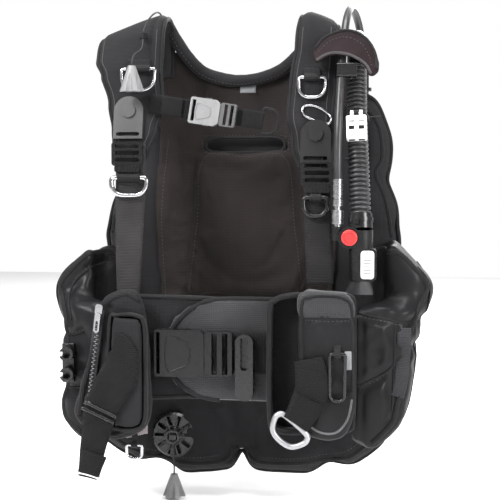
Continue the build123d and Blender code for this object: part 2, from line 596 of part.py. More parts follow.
INFLATOR = (160.5, -270.0)
INFLATE = (147.0, 22.0)
DEFLATE = (169.0, -11.0)
ARM = (131.8, -273.5)
BODY_LOW = -31.0
body = rod((*INFLATOR, BODY_LOW), (*INFLATOR, 31), 14.5)
body = body + from_front(Pos(*INFLATE) * Circle(13.5), -262, -284)
body = body + from_front(Pos(*DEFLATE) * RectangleRounded(22, 40, 6), -264, -284)
body = body + rod((*ARM, INFLATE[1]), (INFLATE[0], INFLATOR[1], INFLATE[1]), 7.4)
body = body + rod((*ARM, INFLATE[1] - 4), (*ARM, INFLATE[1] + 13), 7.4)
body = body - from_front(Pos(*INFLATE) * Circle(10.2), -275, -290)
body = body - from_front(Pos(*INFLATE) * Circle(3.4), -270, -290)
body = body - from_front(Pos(*DEFLATE) * RectangleRounded(17, 35, 4.3), -276, -290)
pieces["inflator_body"] = body - hose_cuff
button = from_front(Pos(*INFLATE) * Circle(9.8), -280, -287)
button = fillet(button.faces().sort_by(Axis.Y)[0].edges(), 1.5)
pieces["inflate_button"] = button + from_front(Pos(*INFLATE) * Circle(3), -275.4, -281)
inflate_spring = facing_front(coil_spring(6.5, 3.0, 2, 0.5), (INFLATE[0], -275.9, INFLATE[1]))
paddle = from_front(Pos(*DEFLATE) * RectangleRounded(16.4, 34.4, 4), -280, -287)
pieces["deflate_button"] = chamfer(paddle.faces().sort_by(Axis.Y)[0].edges(), 1.6)
deflate_spring = facing_front(coil_spring(5.0, 2.6, 2, 0.45), (DEFLATE[0], -276.6, DEFLATE[1]))
pieces["springs"] = Compound(children=[lower_place * lower_spring, inflate_spring, deflate_spring])
mouth_top = Plane(origin=(*INFLATOR, BODY_LOW - 0.2), z_dir=(0, 0, -1)) * Circle(12.5)
mouth_low = Plane(origin=(INFLATOR[0] - 2, INFLATOR[1], BODY_LOW - 17), z_dir=(0, 0, -1)) * Ellipse(18, 8)
mouth_way = block(
    (INFLATOR[0] - 14, INFLATOR[1] - 3.5, BODY_LOW - 20), (INFLATOR[0] + 10, INFLATOR[1] + 3.5, BODY_LOW - 3),
)
pieces["mouthpiece"] = loft([mouth_top, mouth_low]) - mouth_way

# ---------------------------------------------------------------- low pressure hose and its fittings
STUB_TOP = INFLATE[1] + 13
COLLAR_LOW = STUB_TOP + 3
CRIMP_LOW = STUB_TOP + 25
HOSE_START = CRIMP_LOW + 33
nipple = rod((*ARM, STUB_TOP), (*ARM, CRIMP_LOW), 4.4)
collar = rod((*ARM, COLLAR_LOW), (*ARM, COLLAR_LOW + 17), 7.2) - rod((*ARM, STUB_TOP), (*ARM, CRIMP_LOW), 4.7)
pieces["coupling_collar"] = collar
crimp = rod((*ARM, CRIMP_LOW), (*ARM, HOSE_START), 6.4)
crimp = crimp - rod((*ARM, CRIMP_LOW + 8), (*ARM, CRIMP_LOW + 10), 9)
crimp = crimp + rod((*ARM, CRIMP_LOW), (*ARM, HOSE_START), 5.4)
hose_route = (
    (*ARM, HOSE_START), (*ARM, 136), (132.6, -263, 180), (134, -247, 222), (135.2, -226, 262),
    (137, -197, 298), (141, -158, 316), (147, -120, 307), (152.5, -94, 275), (155.5, -80, 233),
    (156.5, -76, 188), (156, -78, 142), (157.5, -77, 96), (158, -79, 52), (158, -79, 12),
)
pieces["inflator_hose"] = tube(hose_route, HOSE_RADIUS)
end_x, end_y, end_z = hose_route[-1]
hexagon = extrude(Pos(end_x, end_y, end_z - 30) * RegularPolygon(8.2, 6), amount=8)
end_crimp = rod((end_x, end_y, end_z), (end_x, end_y, end_z - 22), 6.8)
thread = rod((end_x, end_y, end_z - 30), (end_x, end_y, end_z - 42), 4.76)
pieces["hose_fittings"] = Compound(children=[nipple, crimp, end_crimp + hexagon + thread])

# ---------------------------------------------------------------- sleeve and strap that hold the two hoses
sleeve_front = outline(
    (96, 236), (108, 266), (137, 282), (166, 268), (179, 226), (170, 215), (158, 244), (136, 256),
    (112, 250), radius=5,
)
sleeve_side = ribbon((-258, 208), (-238, 258), (-221, 290), radius=60, thick=4)
pieces["hose_sleeve"] = from_side(sleeve_side, 90, 185) & from_front(sleeve_front, -200, -270)
hose_way = round_sweep(FilletPolyline(*hose_route[:6], radius=corner_radii(hose_route[:6])), HOSE_RADIUS + 0.5)
wide_way = rod(hose_top + top_run * 8, Vector(*corrugated_route[1]), CORRUGATED_RADIUS + 0.6)
strap_block = from_side(outline((-256, 218), (-250, 236), (-226, 236), (-232, 218), radius=3), 128.8, 153)
hose_strap = strap_block - hose_way - wide_way
pieces["hose_clamps"] = Compound(children=[shoulder_elbow, hose_cuff, hose_tie, *hose_strap.solids()])

# whistle on an elastic band round the corrugated hose
band_centre = Vector(153.2, -237.8, 166.5)
band_up = (Vector(*corrugated_route[1]) - Vector(*corrugated_route[2])).normalized()
WHISTLE = Plane(origin=band_centre, x_dir=(1, 0, 0), z_dir=band_up)
band_ring = Cylinder(15.2, 7) - Cylinder(CORRUGATED_RADIUS + 0.5, 8)
PIN_Y = -20.0
band_eye = Pos(0, -17, 0) * Box(6, 6, 6.4) + Rot(0, 90, 0) * Pos(0, PIN_Y, 0) * Cylinder(3.2, 6)
eye_way = Rot(0, 90, 0) * Pos(0, PIN_Y, 0) * Cylinder(1.3 + LOOSE_GAP, 8)
whistle_band = WHISTLE.location * (band_ring + band_eye - eye_way - Cylinder(CORRUGATED_RADIUS + 0.5, 8))
chambers = block((-12.5, -28, -36), (12.5, -17.2, -5), 2)
fork = block((-7.5, PIN_Y - 3, -8), (7.5, PIN_Y + 3, 3)) - block((-3.6, PIN_Y - 4, -3.8), (3.6, PIN_Y + 4, 4))
for chamber_x in (-6, 6):
    chambers = chambers - Pos(chamber_x, -28, -14) * Box(7, 6, 5)
    chambers = chambers - Pos(chamber_x, -22.6, -34) * Box(8, 6, 12)
whistle_pin = Rot(0, 90, 0) * Pos(0, PIN_Y, 0) * Cylinder(1.3, 10)
pieces["whistle"] = WHISTLE.location * (chambers + fork + whistle_pin)

pieces["loops_and_keepers"] = Compound(children=[*loops, chest_ring, cord_guide, whistle_band])

for name, solid in pieces.items():
    export_step(solid, f"parts/{name}.step")
print(len(pieces), "pieces")
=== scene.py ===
import math

import bmesh
import bpy
from mathutils import Matrix, Vector, noise
from mathutils.kdtree import KDTree
from mathutils.bvhtree import BVHTree
from mathutils.geometry import interpolate_bezier


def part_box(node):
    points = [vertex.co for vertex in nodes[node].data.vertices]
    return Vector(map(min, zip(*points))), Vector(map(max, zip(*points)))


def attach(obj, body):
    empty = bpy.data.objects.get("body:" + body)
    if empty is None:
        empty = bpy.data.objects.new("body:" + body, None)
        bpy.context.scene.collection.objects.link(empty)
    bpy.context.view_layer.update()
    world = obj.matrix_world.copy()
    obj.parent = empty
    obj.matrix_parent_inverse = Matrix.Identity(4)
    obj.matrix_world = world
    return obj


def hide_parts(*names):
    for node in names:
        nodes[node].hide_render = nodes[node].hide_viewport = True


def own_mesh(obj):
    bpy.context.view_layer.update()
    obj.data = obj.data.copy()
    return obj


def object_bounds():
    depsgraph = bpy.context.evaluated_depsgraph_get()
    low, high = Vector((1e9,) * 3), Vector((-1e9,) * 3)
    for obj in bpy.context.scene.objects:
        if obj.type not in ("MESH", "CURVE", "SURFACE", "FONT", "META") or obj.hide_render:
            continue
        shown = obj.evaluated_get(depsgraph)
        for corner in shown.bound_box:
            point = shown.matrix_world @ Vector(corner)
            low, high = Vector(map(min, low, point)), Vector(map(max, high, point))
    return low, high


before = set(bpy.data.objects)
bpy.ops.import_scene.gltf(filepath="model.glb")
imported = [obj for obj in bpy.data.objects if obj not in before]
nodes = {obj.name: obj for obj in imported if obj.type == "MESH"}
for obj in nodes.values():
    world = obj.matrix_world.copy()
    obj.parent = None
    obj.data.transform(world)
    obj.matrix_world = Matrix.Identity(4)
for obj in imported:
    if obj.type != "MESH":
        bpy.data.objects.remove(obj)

low_box, high_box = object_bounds()
scene = bpy.context.scene
MM = 0.001
FORWARD = (0, -1, 0)  # away from the diver


def mm(x, y, z):
    """A point given in millimetres, in metres."""
    return Vector((x, y, z)) * MM


def add_object(name, data):
    """A new object in the scene."""
    obj = bpy.data.objects.new(name, data)
    scene.collection.objects.link(obj)
    return obj


# ------------------------------------------------------------------ camera
AZIMUTH = math.radians(8)
ELEVATION = math.radians(4)
TARGET = mm(13.6, -200, 0)
CAMERA_DISTANCE = 1.53
SENSOR_WIDTH = 36
FOCAL_LENGTH = 84.75
back = Vector((
    math.sin(AZIMUTH) * math.cos(ELEVATION), -math.cos(AZIMUTH) * math.cos(ELEVATION), math.sin(ELEVATION),
))
camera_data = bpy.data.cameras.new("camera")
camera_data.sensor_width = SENSOR_WIDTH
camera_data.lens = FOCAL_LENGTH
camera = add_object("camera", camera_data)
camera.location = TARGET + back * CAMERA_DISTANCE
camera.rotation_euler = back.to_track_quat("Z", "Y").to_euler()
scene.camera = camera


# ------------------------------------------------------------------ materials
WAVE_PERIOD = 0.314  # the distance between bands of the wave texture at scale 1


class Surface:
    """A material with one Principled shader and short calls for what goes into it."""

    def __init__(self, name, colour, roughness, **values):
        self.material = bpy.data.materials.new(name)
        self.material.use_nodes = True
        self.tree = self.material.node_tree
        self.shader = self.tree.nodes["Principled BSDF"]
        self.shader.inputs["Base Color"].default_value = (*colour, 1)
        self.shader.inputs["Roughness"].default_value = roughness
        for key, value in values.items():
            self.shader.inputs[key.replace("_", " ")].default_value = value
        self.colour = colour
        self.where = self.add("ShaderNodeTexCoord").outputs["Object"]
        self.height = None

    def add(self, kind, **values):
        node = self.tree.nodes.new(kind)
        for key, value in values.items():
            setattr(node, key, value)
        return node

    def link(self, source, target):
        self.tree.links.new(source, target)

    def noise(self, scale, detail=3.0, stretch=None):
        node = self.add("ShaderNodeTexNoise")
        node.inputs["Scale"].default_value = scale
        node.inputs["Detail"].default_value = detail
        place = self.where
        if stretch:
            mapping = self.add("ShaderNodeMapping")
            mapping.inputs["Scale"].default_value = stretch
            self.link(place, mapping.inputs["Vector"])
            place = mapping.outputs["Vector"]
        self.link(place, node.inputs["Vector"])
        return node.outputs["Fac"]

    def wave(self, direction, pitch, where=None, distortion=0.0):
        node = self.add("ShaderNodeTexWave", bands_direction=direction)
        node.inputs["Scale"].default_value = WAVE_PERIOD / pitch
        node.inputs["Distortion"].default_value = distortion
        self.link(where or self.where, node.inputs["Vector"])
        return node.outputs["Fac"]

    def blend(self, kind, a, b):
        node = self.add("ShaderNodeMath", operation=kind)
        for socket, value in zip(node.inputs, (a, b)):
            if isinstance(value, (int, float)):
                socket.default_value = value
            else:
                self.link(value, socket)
        return node.outputs[0]

    def ramp(self, source, low, high):
        node = self.add("ShaderNodeMapRange")
        node.inputs["To Min"].default_value = low
        node.inputs["To Max"].default_value = high
        self.link(source, node.inputs["Value"])
        return node.outputs["Result"]

    def tint(self, source, low, high, from_low=0.3, from_high=0.7):
        """Colour that goes from low times the base to high times the base as source rises."""
        node = self.add("ShaderNodeValToRGB")
        first, last = node.color_ramp.elements
        first.position, last.position = from_low, from_high
        first.color = (*[c * low for c in self.colour], 1)
        last.color = (*[min(1.0, c * high) for c in self.colour], 1)
        self.link(source, node.inputs["Fac"])
        self.link(node.outputs["Color"], self.shader.inputs["Base Color"])

    def rough(self, source, low, high):
        self.link(self.ramp(source, low, high), self.shader.inputs["Roughness"])

    def bump(self, source, depth):
        node = self.add("ShaderNodeBump")
        node.inputs["Strength"].default_value = 1.0
        node.inputs["Distance"].default_value = depth
        self.link(source, node.inputs["Height"])
        if self.height:
            self.link(self.height, node.inputs["Normal"])
        self.height = node.outputs["Normal"]
        self.link(self.height, self.shader.inputs["Normal"])

    def edge_wear_and_fold_shade(self):
        """A mask from pointiness: bright on convex edges, for wear there, and dull in folds, which is painted
        shade.
        """
        geometry = self.add("ShaderNodeNewGeometry")
        return geometry.outputs["Pointiness"]


def woven(name, colour, pitch=1.7, roughness=0.78, sheen=0.05):
    s = Surface(name, colour, roughness, Sheen_Weight=sheen, Sheen_Roughness=0.4, Specular_IOR_Level=0.12)
    weave = s.blend("ADD", s.wave("X", pitch * MM, distortion=0.6), s.wave("Z", pitch * MM, distortion=0.6))
    s.tint(s.blend("ADD", s.blend("MULTIPLY", weave, 0.22), s.noise(14, 5)), 0.72, 1.5, 0.35, 0.95)
    s.rough(s.noise(60), roughness - 0.1, roughness + 0.1)
    s.bump(s.noise(26, 4), 0.0016)
    s.bump(weave, 0.00018)
    return s.material


def strap(name, colour, roughness=0.62, specular=0.15):
    """Webbing's material: u runs across and v along, both in metres."""
    s = Surface(name, colour, roughness, Sheen_Weight=0.04, Sheen_Roughness=0.35, Specular_IOR_Level=specular)
    uv = s.add("ShaderNodeTexCoord").outputs["UV"]
    ribs = s.wave("Y", 1.9 * MM, uv, 0.3)
    threads = s.wave("DIAGONAL", 1.2 * MM, uv)
    shading = s.blend("ADD", s.blend("MULTIPLY", ribs, 0.5), s.blend("MULTIPLY", s.noise(40, 4), 0.6))
    s.tint(shading, 0.6, 1.9, 0.2, 0.9)
    s.bump(ribs, 0.0005)
    s.bump(threads, 0.00025)
    return s.material


def moulded(name, colour, roughness=0.42, coat=0.0, specular=0.32):
    s = Surface(name, colour, roughness, Coat_Weight=coat, Specular_IOR_Level=specular)
    # lighter on convex edges for wear, darker in folds and hollows as painted shade
    edge = s.blend("MULTIPLY", s.edge_wear_and_fold_shade(), 0.8)
    speckle = s.blend("MULTIPLY", s.noise(240, 4), 0.3)
    s.tint(s.blend("ADD", edge, speckle), 0.88, 1.24, 0.4, 0.75)
    s.rough(s.noise(90, 5), roughness - 0.08, roughness + 0.1)
    s.bump(s.noise(900, 2), 0.00004)
    return s.material


def metal(name, colour, roughness=0.16):
    s = Surface(name, colour, roughness, Metallic=1.0)
    s.rough(s.noise(120, 6, stretch=(1, 1, 6)), roughness - 0.05, roughness + 0.14)
    s.tint(s.noise(30, 4), 0.85, 1.1)
    s.bump(s.noise(700, 3, stretch=(1, 1, 8)), 0.00002)
    return s.material


def grained(name, colour, roughness, grain=0.00012, wrinkles=0.0018, coat=0.08):
    s = Surface(name, colour, roughness, Coat_Weight=coat, Coat_Roughness=0.25, Specular_IOR_Level=0.1)
    cells = s.add("ShaderNodeTexVoronoi")
    cells.inputs["Scale"].default_value = 520
    s.link(s.where, cells.inputs["Vector"])
    s.tint(s.noise(16, 6), 0.7, 1.6)
    s.rough(s.noise(34, 5), roughness - 0.12, roughness + 0.14)
    s.bump(s.noise(22, 5, stretch=(1, 1, 0.6)), wrinkles)
    s.bump(cells.outputs["Distance"], grain)
    return s.material


def rubbery(name, colour, roughness=0.5):
    s = Surface(name, colour, roughness, Specular_IOR_Level=0.4)
    s.tint(s.noise(70, 4), 0.7, 1.5)
    s.rough(s.noise(50, 4), roughness - 0.1, roughness + 0.12)
    s.bump(s.noise(600, 2), 0.00005)
    return s.material


CLOTH = woven("pack_cloth", (0.0105, 0.01, 0.0108))
PANEL = woven("panel_cloth", (0.0132, 0.0104, 0.0102), pitch=2.0)
INNER = woven("inner_mesh", (0.008, 0.008, 0.0085), pitch=3.2)
SATIN = woven("satin_cloth", (0.024, 0.024, 0.0255), pitch=2.4, roughness=0.5, sheen=0.2)
BINDING = woven("binding_tape", (0.008, 0.008, 0.0085), pitch=2.6, roughness=0.62)
PIPING = woven("grey_piping", (0.07, 0.07, 0.073), pitch=2.0, roughness=0.5)
LINING = woven("pocket_lining", (0.12, 0.106, 0.106), pitch=2.0, roughness=0.55, sheen=0.2)
LABEL = woven("blank_label", (0.16, 0.165, 0.17), pitch=1.2, roughness=0.6)
THREAD = woven("thread", (0.045, 0.042, 0.042), pitch=1.0)
WEBBING = strap("webbing", (0.0105, 0.01, 0.0105))
# a lighter copy of the webbing for the right shoulder strap: painted light on the better lit strap
PAINTED_LIGHT_WEBBING = strap("painted_light_webbing", (0.019, 0.018, 0.0185))
BELTING = strap("belt_webbing", (0.0062, 0.006, 0.0062), specular=0.09)
ELASTIC = strap("elastic", (0.022, 0.022, 0.024), 0.7)
CORD = rubbery("cord_black", (0.01, 0.01, 0.011), 0.6)
LEATHER = grained("leather_look", (0.0055, 0.0055, 0.006), 0.5)
NEOPRENE = grained("sleeve_neoprene", (0.011, 0.0062, 0.0072), 0.66, grain=0.00006, wrinkles=0.0008, coat=0.0)
HOSE = rubbery("hose_rubber", (0.021, 0.021, 0.022), 0.34)
BLACK = moulded("black_plastic", (0.006, 0.006, 0.0065), 0.26, coat=0.1)
DARK = moulded("dark_plastic", (0.007, 0.007, 0.0073), 0.26, specular=0.24)
PLATE = moulded("plate_grey", (0.038, 0.037, 0.038), 0.36)
# a darker copy of the plate grey for the left rotating plate: painted shade
PLATE_PAINTED_SHADE = moulded("plate_grey_painted_shade", (0.012, 0.012, 0.0125), 0.3)
LIGHT = moulded("light_grey", (0.17, 0.17, 0.172), 0.4)
MIDDLE = moulded("middle_grey", (0.07, 0.07, 0.071), 0.34)
SADDLE = moulded("saddle_plastic", (0.016, 0.016, 0.018), 0.5)
STEEL = metal("ring_steel", (0.42, 0.42, 0.435), 0.14)
ALLOY = metal("matt_alloy", (0.34, 0.34, 0.35), 0.42)
SPRING = metal("spring_steel", (0.4, 0.4, 0.42), 0.3)
PLATED = metal("brass_plated", (0.42, 0.42, 0.43), 0.22)
RED = moulded("red_plastic", (0.62, 0.03, 0.03), 0.3, coat=0.4)
WHITE = moulded("white_plastic", (0.6, 0.6, 0.59), 0.4, coat=0.15)
# a darker red for the ring round the inflate button: painted shade in its groove
RED_PAINTED_SHADE = moulded("red_painted_groove_shade", (0.3, 0.02, 0.018), 0.5)


# ------------------------------------------------------------------ shapes
def finish_piece(obj, material, body, smooth=True):
    """Gives a new object its material and the body that it rides on."""
    obj.data.materials.append(material)
    if smooth and obj.type == "MESH":
        obj.data.shade_smooth()
    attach(obj, body)
    return obj


def cover(obj, node, material, body="vest"):
    """Finishes a padded piece that stands for a soft CAD node."""
    finish_piece(obj, material, body)
    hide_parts(node)


def mesh_piece(name, points, faces, material, body="vest", uvs=None):
    mesh = bpy.data.meshes.new(name)
    mesh.from_pydata([tuple(p) for p in points], [], faces)
    if uvs:
        layer = mesh.uv_layers.new(name="UVMap")
        for loop in mesh.loops:
            layer.data[loop.index].uv = uvs[loop.vertex_index]
    mesh.validate()
    mesh.update()
    obj = add_object(name, mesh)
    return finish_piece(obj, material, body)


def smooth_line(points, step=4 * MM, closed=False):
    """A smooth line through points, with about one point each step."""
    points = [Vector(p) for p in points]
    count = len(points)
    line = []
    for i in range(count if closed else count - 1):
        if closed:
            p0, p1, p2, p3 = (points[(i + k) % count] for k in (-1, 0, 1, 2))
        else:
            p0, p1, p2, p3 = (points[min(max(i + k, 0), count - 1)] for k in (-1, 0, 1, 2))
        pieces = max(2, round((p2 - p1).length / step))
        line.extend(interpolate_bezier(p1, p1 + (p2 - p0) / 6, p2 - (p3 - p1) / 6, p2, pieces + 1)[:-1])
    if not closed:
        line.append(points[-1])
    return line


def line_through(points, step):
    """A smooth line through (x, y, z) points in millimetres."""
    return smooth_line([mm(*p) for p in points], step)


def tangents(line, closed=False):
    count = len(line)
    result = []
    for i in range(count):
        after = line[(i + 1) % count] if closed else line[min(i + 1, count - 1)]
        before = line[i - 1] if closed or i else line[0]
        result.append((after - before).normalized())
    return result


def sweep_section(name, line, section, material, body="vest", up=None, closed=False, scale=None):
    """Carries a closed flat section of (side, up) points along a line.

    up is a vector, or a function of a point.
    """
    along = tangents(line, closed)
    points, faces = [], []
    rings = len(line)
    width = len(section)
    side_before = None
    for i, (place, ahead) in enumerate(zip(line, along)):
        if up is None:
            guess = side_before or ahead.orthogonal()
            side = (guess - ahead * guess.dot(ahead)).normalized()
            side_before = side
            top = side.cross(ahead)
        else:
            top = Vector(up(place)) if callable(up) else Vector(up)
            side = ahead.cross(top).normalized()
            top = side.cross(ahead)
        size = scale(i / max(1, rings - 1)) if scale else 1.0
        points.extend(place + side * (s * size) + top * (t * size) for s, t in section)
    for i in range(rings if closed else rings - 1):
        for k in range(width):
            a, b = i * width + k, i * width + (k + 1) % width
            c, d = ((i + 1) % rings) * width + (k + 1) % width, ((i + 1) % rings) * width + k
            faces.append((a, b, c, d))
    if not closed:
        faces.append(tuple(range(width - 1, -1, -1)))
        faces.append(tuple((rings - 1) * width + k for k in range(width)))
    return mesh_piece(name, points, faces, material, body)


def circle_section(radius, flat=1.0, sides=12):
    return [
        (radius * math.cos(2 * math.pi * k / sides), flat * radius * math.sin(2 * math.pi * k / sides))
        for k in range(sides)
    ]


def rod_along(
    name, line, radius, material, body="vest", flat=1.0, up=None, closed=False, sides=12, scale=None,
):
    return sweep_section(name, line, circle_section(radius, flat, sides), material, body, up, closed, scale)


BAND_COLUMNS = 8
EDGE_THINNING, EDGE_SHARPNESS = 0.55, 10  # how much thinner webbing is at its edges, and how suddenly


def band(name, line, width, thick, material, body="vest", up=FORWARD, widths=None):
    """Flat webbing along a line of its middle. up is the face's normal, and uv is in metres.

    widths gives the width as a function of the share of the length, where it changes.
    """
    columns = BAND_COLUMNS
    along = tangents(line)
    points, uvs, faces = [], [], []
    run = 0.0
    for i, (place, ahead) in enumerate(zip(line, along)):
        top = Vector(up(place)) if callable(up) else Vector(up)
        side = ahead.cross(top).normalized()
        top = side.cross(ahead)
        if i:
            run += (place - line[i - 1]).length
        wide = widths(i / (len(line) - 1)) if widths else width
        for face in (1, -1):
            for k in range(columns + 1):
                u = k / columns - 0.5
                edge = 1 - EDGE_THINNING * (abs(u) * 2) ** EDGE_SHARPNESS
                points.append(place + side * (u * wide) + top * (face * thick / 2 * edge))
                uvs.append((u * wide, run))
    row = 2 * (columns + 1)
    for i in range(len(line) - 1):
        for k in range(columns):
            a = i * row + k
            faces.append((a, a + row, a + row + 1, a + 1))
            b = a + columns + 1
            faces.append((b, b + 1, b + row + 1, b + row))
        for start, turn in ((0, 1), (columns, -1)):
            a, b = i * row + start, i * row + start + columns + 1
            quad = (a, b, b + row, a + row)
            faces.append(quad if turn == 1 else quad[::-1])
    for i, turn in ((0, 1), (len(line) - 1, -1)):
        for k in range(columns):
            a = i * row + k
            quad = (a, a + 1, a + columns + 2, a + columns + 1)
            faces.append(quad if turn == 1 else quad[::-1])
    return mesh_piece(name, points, faces, material, body, uvs)


END_ROUNDING, SIDE_ROUNDING = 0.7, 0.55  # of a stuffed strip's rounded edges, as shares of its thickness
EDGE_FULLNESS = 0.82  # thickness beside the edges, as a share of that in the middle
WRINKLE_SCALE = 28  # wrinkles in a metre
WELD_GAP = 0.05 * MM


def padded_strip(
    name, line, across, low, high, thick, material, body="vest", wrinkle=0.0, columns=26, round_ends=True,
):
    """A stuffed strip along a line of its middle seen edge on, with across as its other direction.

    low and high are its two edges: functions of the share of the line's length, in metres along across.
    """
    across = Vector(across)
    along = tangents(line)
    count = len(line)
    points, faces = [], []
    for i, (place, ahead) in enumerate(zip(line, along)):
        share = i / (count - 1)
        outward = ahead.cross(across).normalized()
        near_end = min(share, 1 - share) * count * (line[1] - line[0]).length
        end_fall = min(
            1.0, math.sqrt(max(near_end, 0.0) / (END_ROUNDING * thick) + 0.06),
        ) if round_ends else 1.0
        a, b = low(share), high(share)
        for face in (1, -1):
            for k in range(columns + 1):
                u = k / columns
                at = a + (b - a) * u
                from_edge = min(u, 1 - u) * (b - a)
                fall = min(1.0, (from_edge / (SIDE_ROUNDING * thick)) ** 0.5)
                fall *= EDGE_FULLNESS + (1 - EDGE_FULLNESS) * math.sin(math.pi * u)
                spot = place + across * at
                fold = wrinkle * noise.noise(spot * WRINKLE_SCALE) * fall
                points.append(spot + outward * (face * thick / 2 * fall * end_fall + fold))
    row = 2 * (columns + 1)
    for i in range(count - 1):
        for k in range(columns):
            a = i * row + k
            faces.append((a, a + 1, a + row + 1, a + row))
            b = a + columns + 1
            faces.append((b, b + row, b + row + 1, b + 1))
    for i, turn in ((0, 1), (count - 1, -1)):
        for k in range(columns):
            a = i * row + k
            quad = (a, a + columns + 1, a + columns + 2, a + 1)
            faces.append(quad if turn == 1 else quad[::-1])
    obj = mesh_piece(name, points, faces, material, body)
    weld(obj)
    return obj


def weld(obj):
    """Joins the two faces of a strip where they meet."""
    work = bmesh.new()
    work.from_mesh(obj.data)
    bmesh.ops.remove_doubles(work, verts=work.verts, dist=WELD_GAP)
    bmesh.ops.recalc_face_normals(work, faces=work.faces)
    work.to_mesh(obj.data)
    work.free()


def apply_modifiers(obj):
    depsgraph = bpy.context.evaluated_depsgraph_get()
    mesh = bpy.data.meshes.new_from_object(obj.evaluated_get(depsgraph))
    obj.modifiers.clear()
    obj.data = mesh


def softened(obj, voxel, rounds):
    """Meshes an object finely and evenly, and rounds its edges."""
    remesh = obj.modifiers.new("remesh", "REMESH")
    remesh.mode = "VOXEL"
    remesh.voxel_size = voxel * MM
    apply_modifiers(obj)
    work = bmesh.new()
    work.from_mesh(obj.data)
    for _ in range(rounds):
        bmesh.ops.smooth_vert(
            work, verts=work.verts, factor=0.5, use_axis_x=True, use_axis_y=True, use_axis_z=True,
        )
    work.to_mesh(obj.data)
    work.free()
    return obj


def soft_copy(name, node, voxel, rounds):
    """A finely meshed copy of a CAD node with its edges softened, ready to be inflated or pressed."""
    obj = add_object(name, nodes[node].data.copy())
    obj.data.materials.clear()
    return softened(obj, voxel, rounds)


def seam_tree(lines):
    """A quick way to ask how far a point is from some lines, as seen from the front."""
    spots = [p for line in lines for p in smooth_line(line, 2 * MM)]
    tree = KDTree(max(1, len(spots)))
    for i, p in enumerate(spots):
        tree.insert((p.x, 0, p.z), i)
    tree.balance()

    def distance(co):
        return tree.find((co.x, 0, co.z))[2] if spots else 1.0

    return distance


FILL_SHARE = 0.85  # of its room, which a point moves before the cloth settles
SLACK_SHARE = 0.4  # of its room, which a point may still move while the cloth settles
HELD_ROOM = 0.2 * MM  # points with less room than this do not move
SETTLE_FRAMES = 22


def inflate(obj, cap, seams=(), pressure=4.0, seam_width=4.5):
    """Fills a soft copy out, then lets slack cloth settle into folds.

    cap(point) limits how far a point may move. Points near a seam are held, so the cloth puckers beside it.
    """
    away = seam_tree(seams)
    room = [cap(v.co) for v in obj.data.vertices]
    sewn = [away(v.co) for v in obj.data.vertices]
    moves = [
        v.normal * min(free, 0.5 * max(gap - seam_width * MM, 0))
        for v, free, gap in zip(obj.data.vertices, room, sewn)
    ]
    for v, move in zip(obj.data.vertices, moves):
        v.co += move * FILL_SHARE
    filled = [v.co.copy() for v in obj.data.vertices]
    group = obj.vertex_groups.new(name="held")
    for v, free, gap in zip(obj.data.vertices, room, sewn):
        if free < HELD_ROOM or gap < seam_width * MM:
            group.add([v.index], 1.0, "REPLACE")
    cloth = obj.modifiers.new("cloth", "CLOTH")
    settings = cloth.settings
    settings.quality = 5
    settings.mass = 0.2
    settings.tension_stiffness = settings.compression_stiffness = settings.shear_stiffness = 12
    settings.bending_stiffness = 0.3
    settings.use_pressure = True
    settings.uniform_pressure_force = pressure
    settings.shrink_min = -0.05
    settings.vertex_group_mass = "held"
    settings.effector_weights.gravity = 0.2
    cloth.collision_settings.use_collision = False
    cloth.point_cache.frame_start = 1
    cloth.point_cache.frame_end = SETTLE_FRAMES
    for f in range(1, SETTLE_FRAMES + 1):
        scene.frame_set(f)
    apply_modifiers(obj)
    scene.frame_set(1)
    for v, start, free in zip(obj.data.vertices, filled, room):
        moved = v.co - start
        limit = SLACK_SHARE * free
        if moved.length > limit:
            v.co = start + moved.normalized() * limit
    obj.vertex_groups.clear()


def crease(obj, lines, depth, width, facing=None):
    """Presses grooves into a soft piece along some lines."""
    distance = seam_tree(lines)
    for v in obj.data.vertices:
        if facing and v.normal.dot(Vector(facing)) < 0.2:
            continue
        away = distance(v.co)
        if away < 3 * width:
            v.co -= v.normal * depth * math.exp(-((away / width) ** 2))


def rumple(obj, height, scale, stretch=(1, 1, 1), keep=None):
    """Low folds from noise, along each point's normal."""
    moves = []
    for v in obj.data.vertices:
        spot = Vector([c * s for c, s in zip(v.co, stretch)]) * scale
        amount = height * (keep(v.co) if keep else 1.0)
        moves.append(v.normal * amount * (noise.noise(spot) + 0.5 * noise.noise(spot * 2.3)))
    for v, move in zip(obj.data.vertices, moves):
        v.co += move


def subdivide(obj):
    modifier = obj.modifiers.new("subdivision", "SUBSURF")
    modifier.levels = modifier.render_levels = 1
    apply_modifiers(obj)


def surface_of(obj):
    """A tree of the object's faces, for laying things on them."""
    return BVHTree.FromPolygons([v.co for v in obj.data.vertices], [p.vertices for p in obj.data.polygons])


OUTSIDE = 0.7  # metres from the origin, past every piece


def lay_on(tree, line, toward=(0, 1, 0), lift=0.5 * MM):
    """Moves each point of a line on to a surface, coming from one side."""
    toward = Vector(toward)
    result = []
    for p in line:
        origin = p - toward * p.dot(toward) - toward * OUTSIDE
        hit = tree.ray_cast(origin, toward)[0]
        if hit:
            result.append(hit - toward * lift)
    return result


def front_line(points, step=4 * MM, closed=False):
    """A smooth line seen from the front, from (x, z) in millimetres."""
    return smooth_line([mm(x, 0, z) for x, z in points], step, closed)


def front_crease(obj, points, depth, width):
    """A groove in the side away from the diver. All sizes are in millimetres."""
    crease(obj, [front_line(points)], depth * MM, width * MM, FORWARD)


def sewn_edge(name, tree, points, radius, material, body="vest", flat=0.55):
    """A binding or piping laid on a soft piece along a line seen from the front."""
    line = lay_on(tree, front_line(points), lift=0.4 * MM)
    return rod_along(name, line, radius * MM, material, body, flat, FORWARD)


THREAD_RADIUS = 0.45 * MM


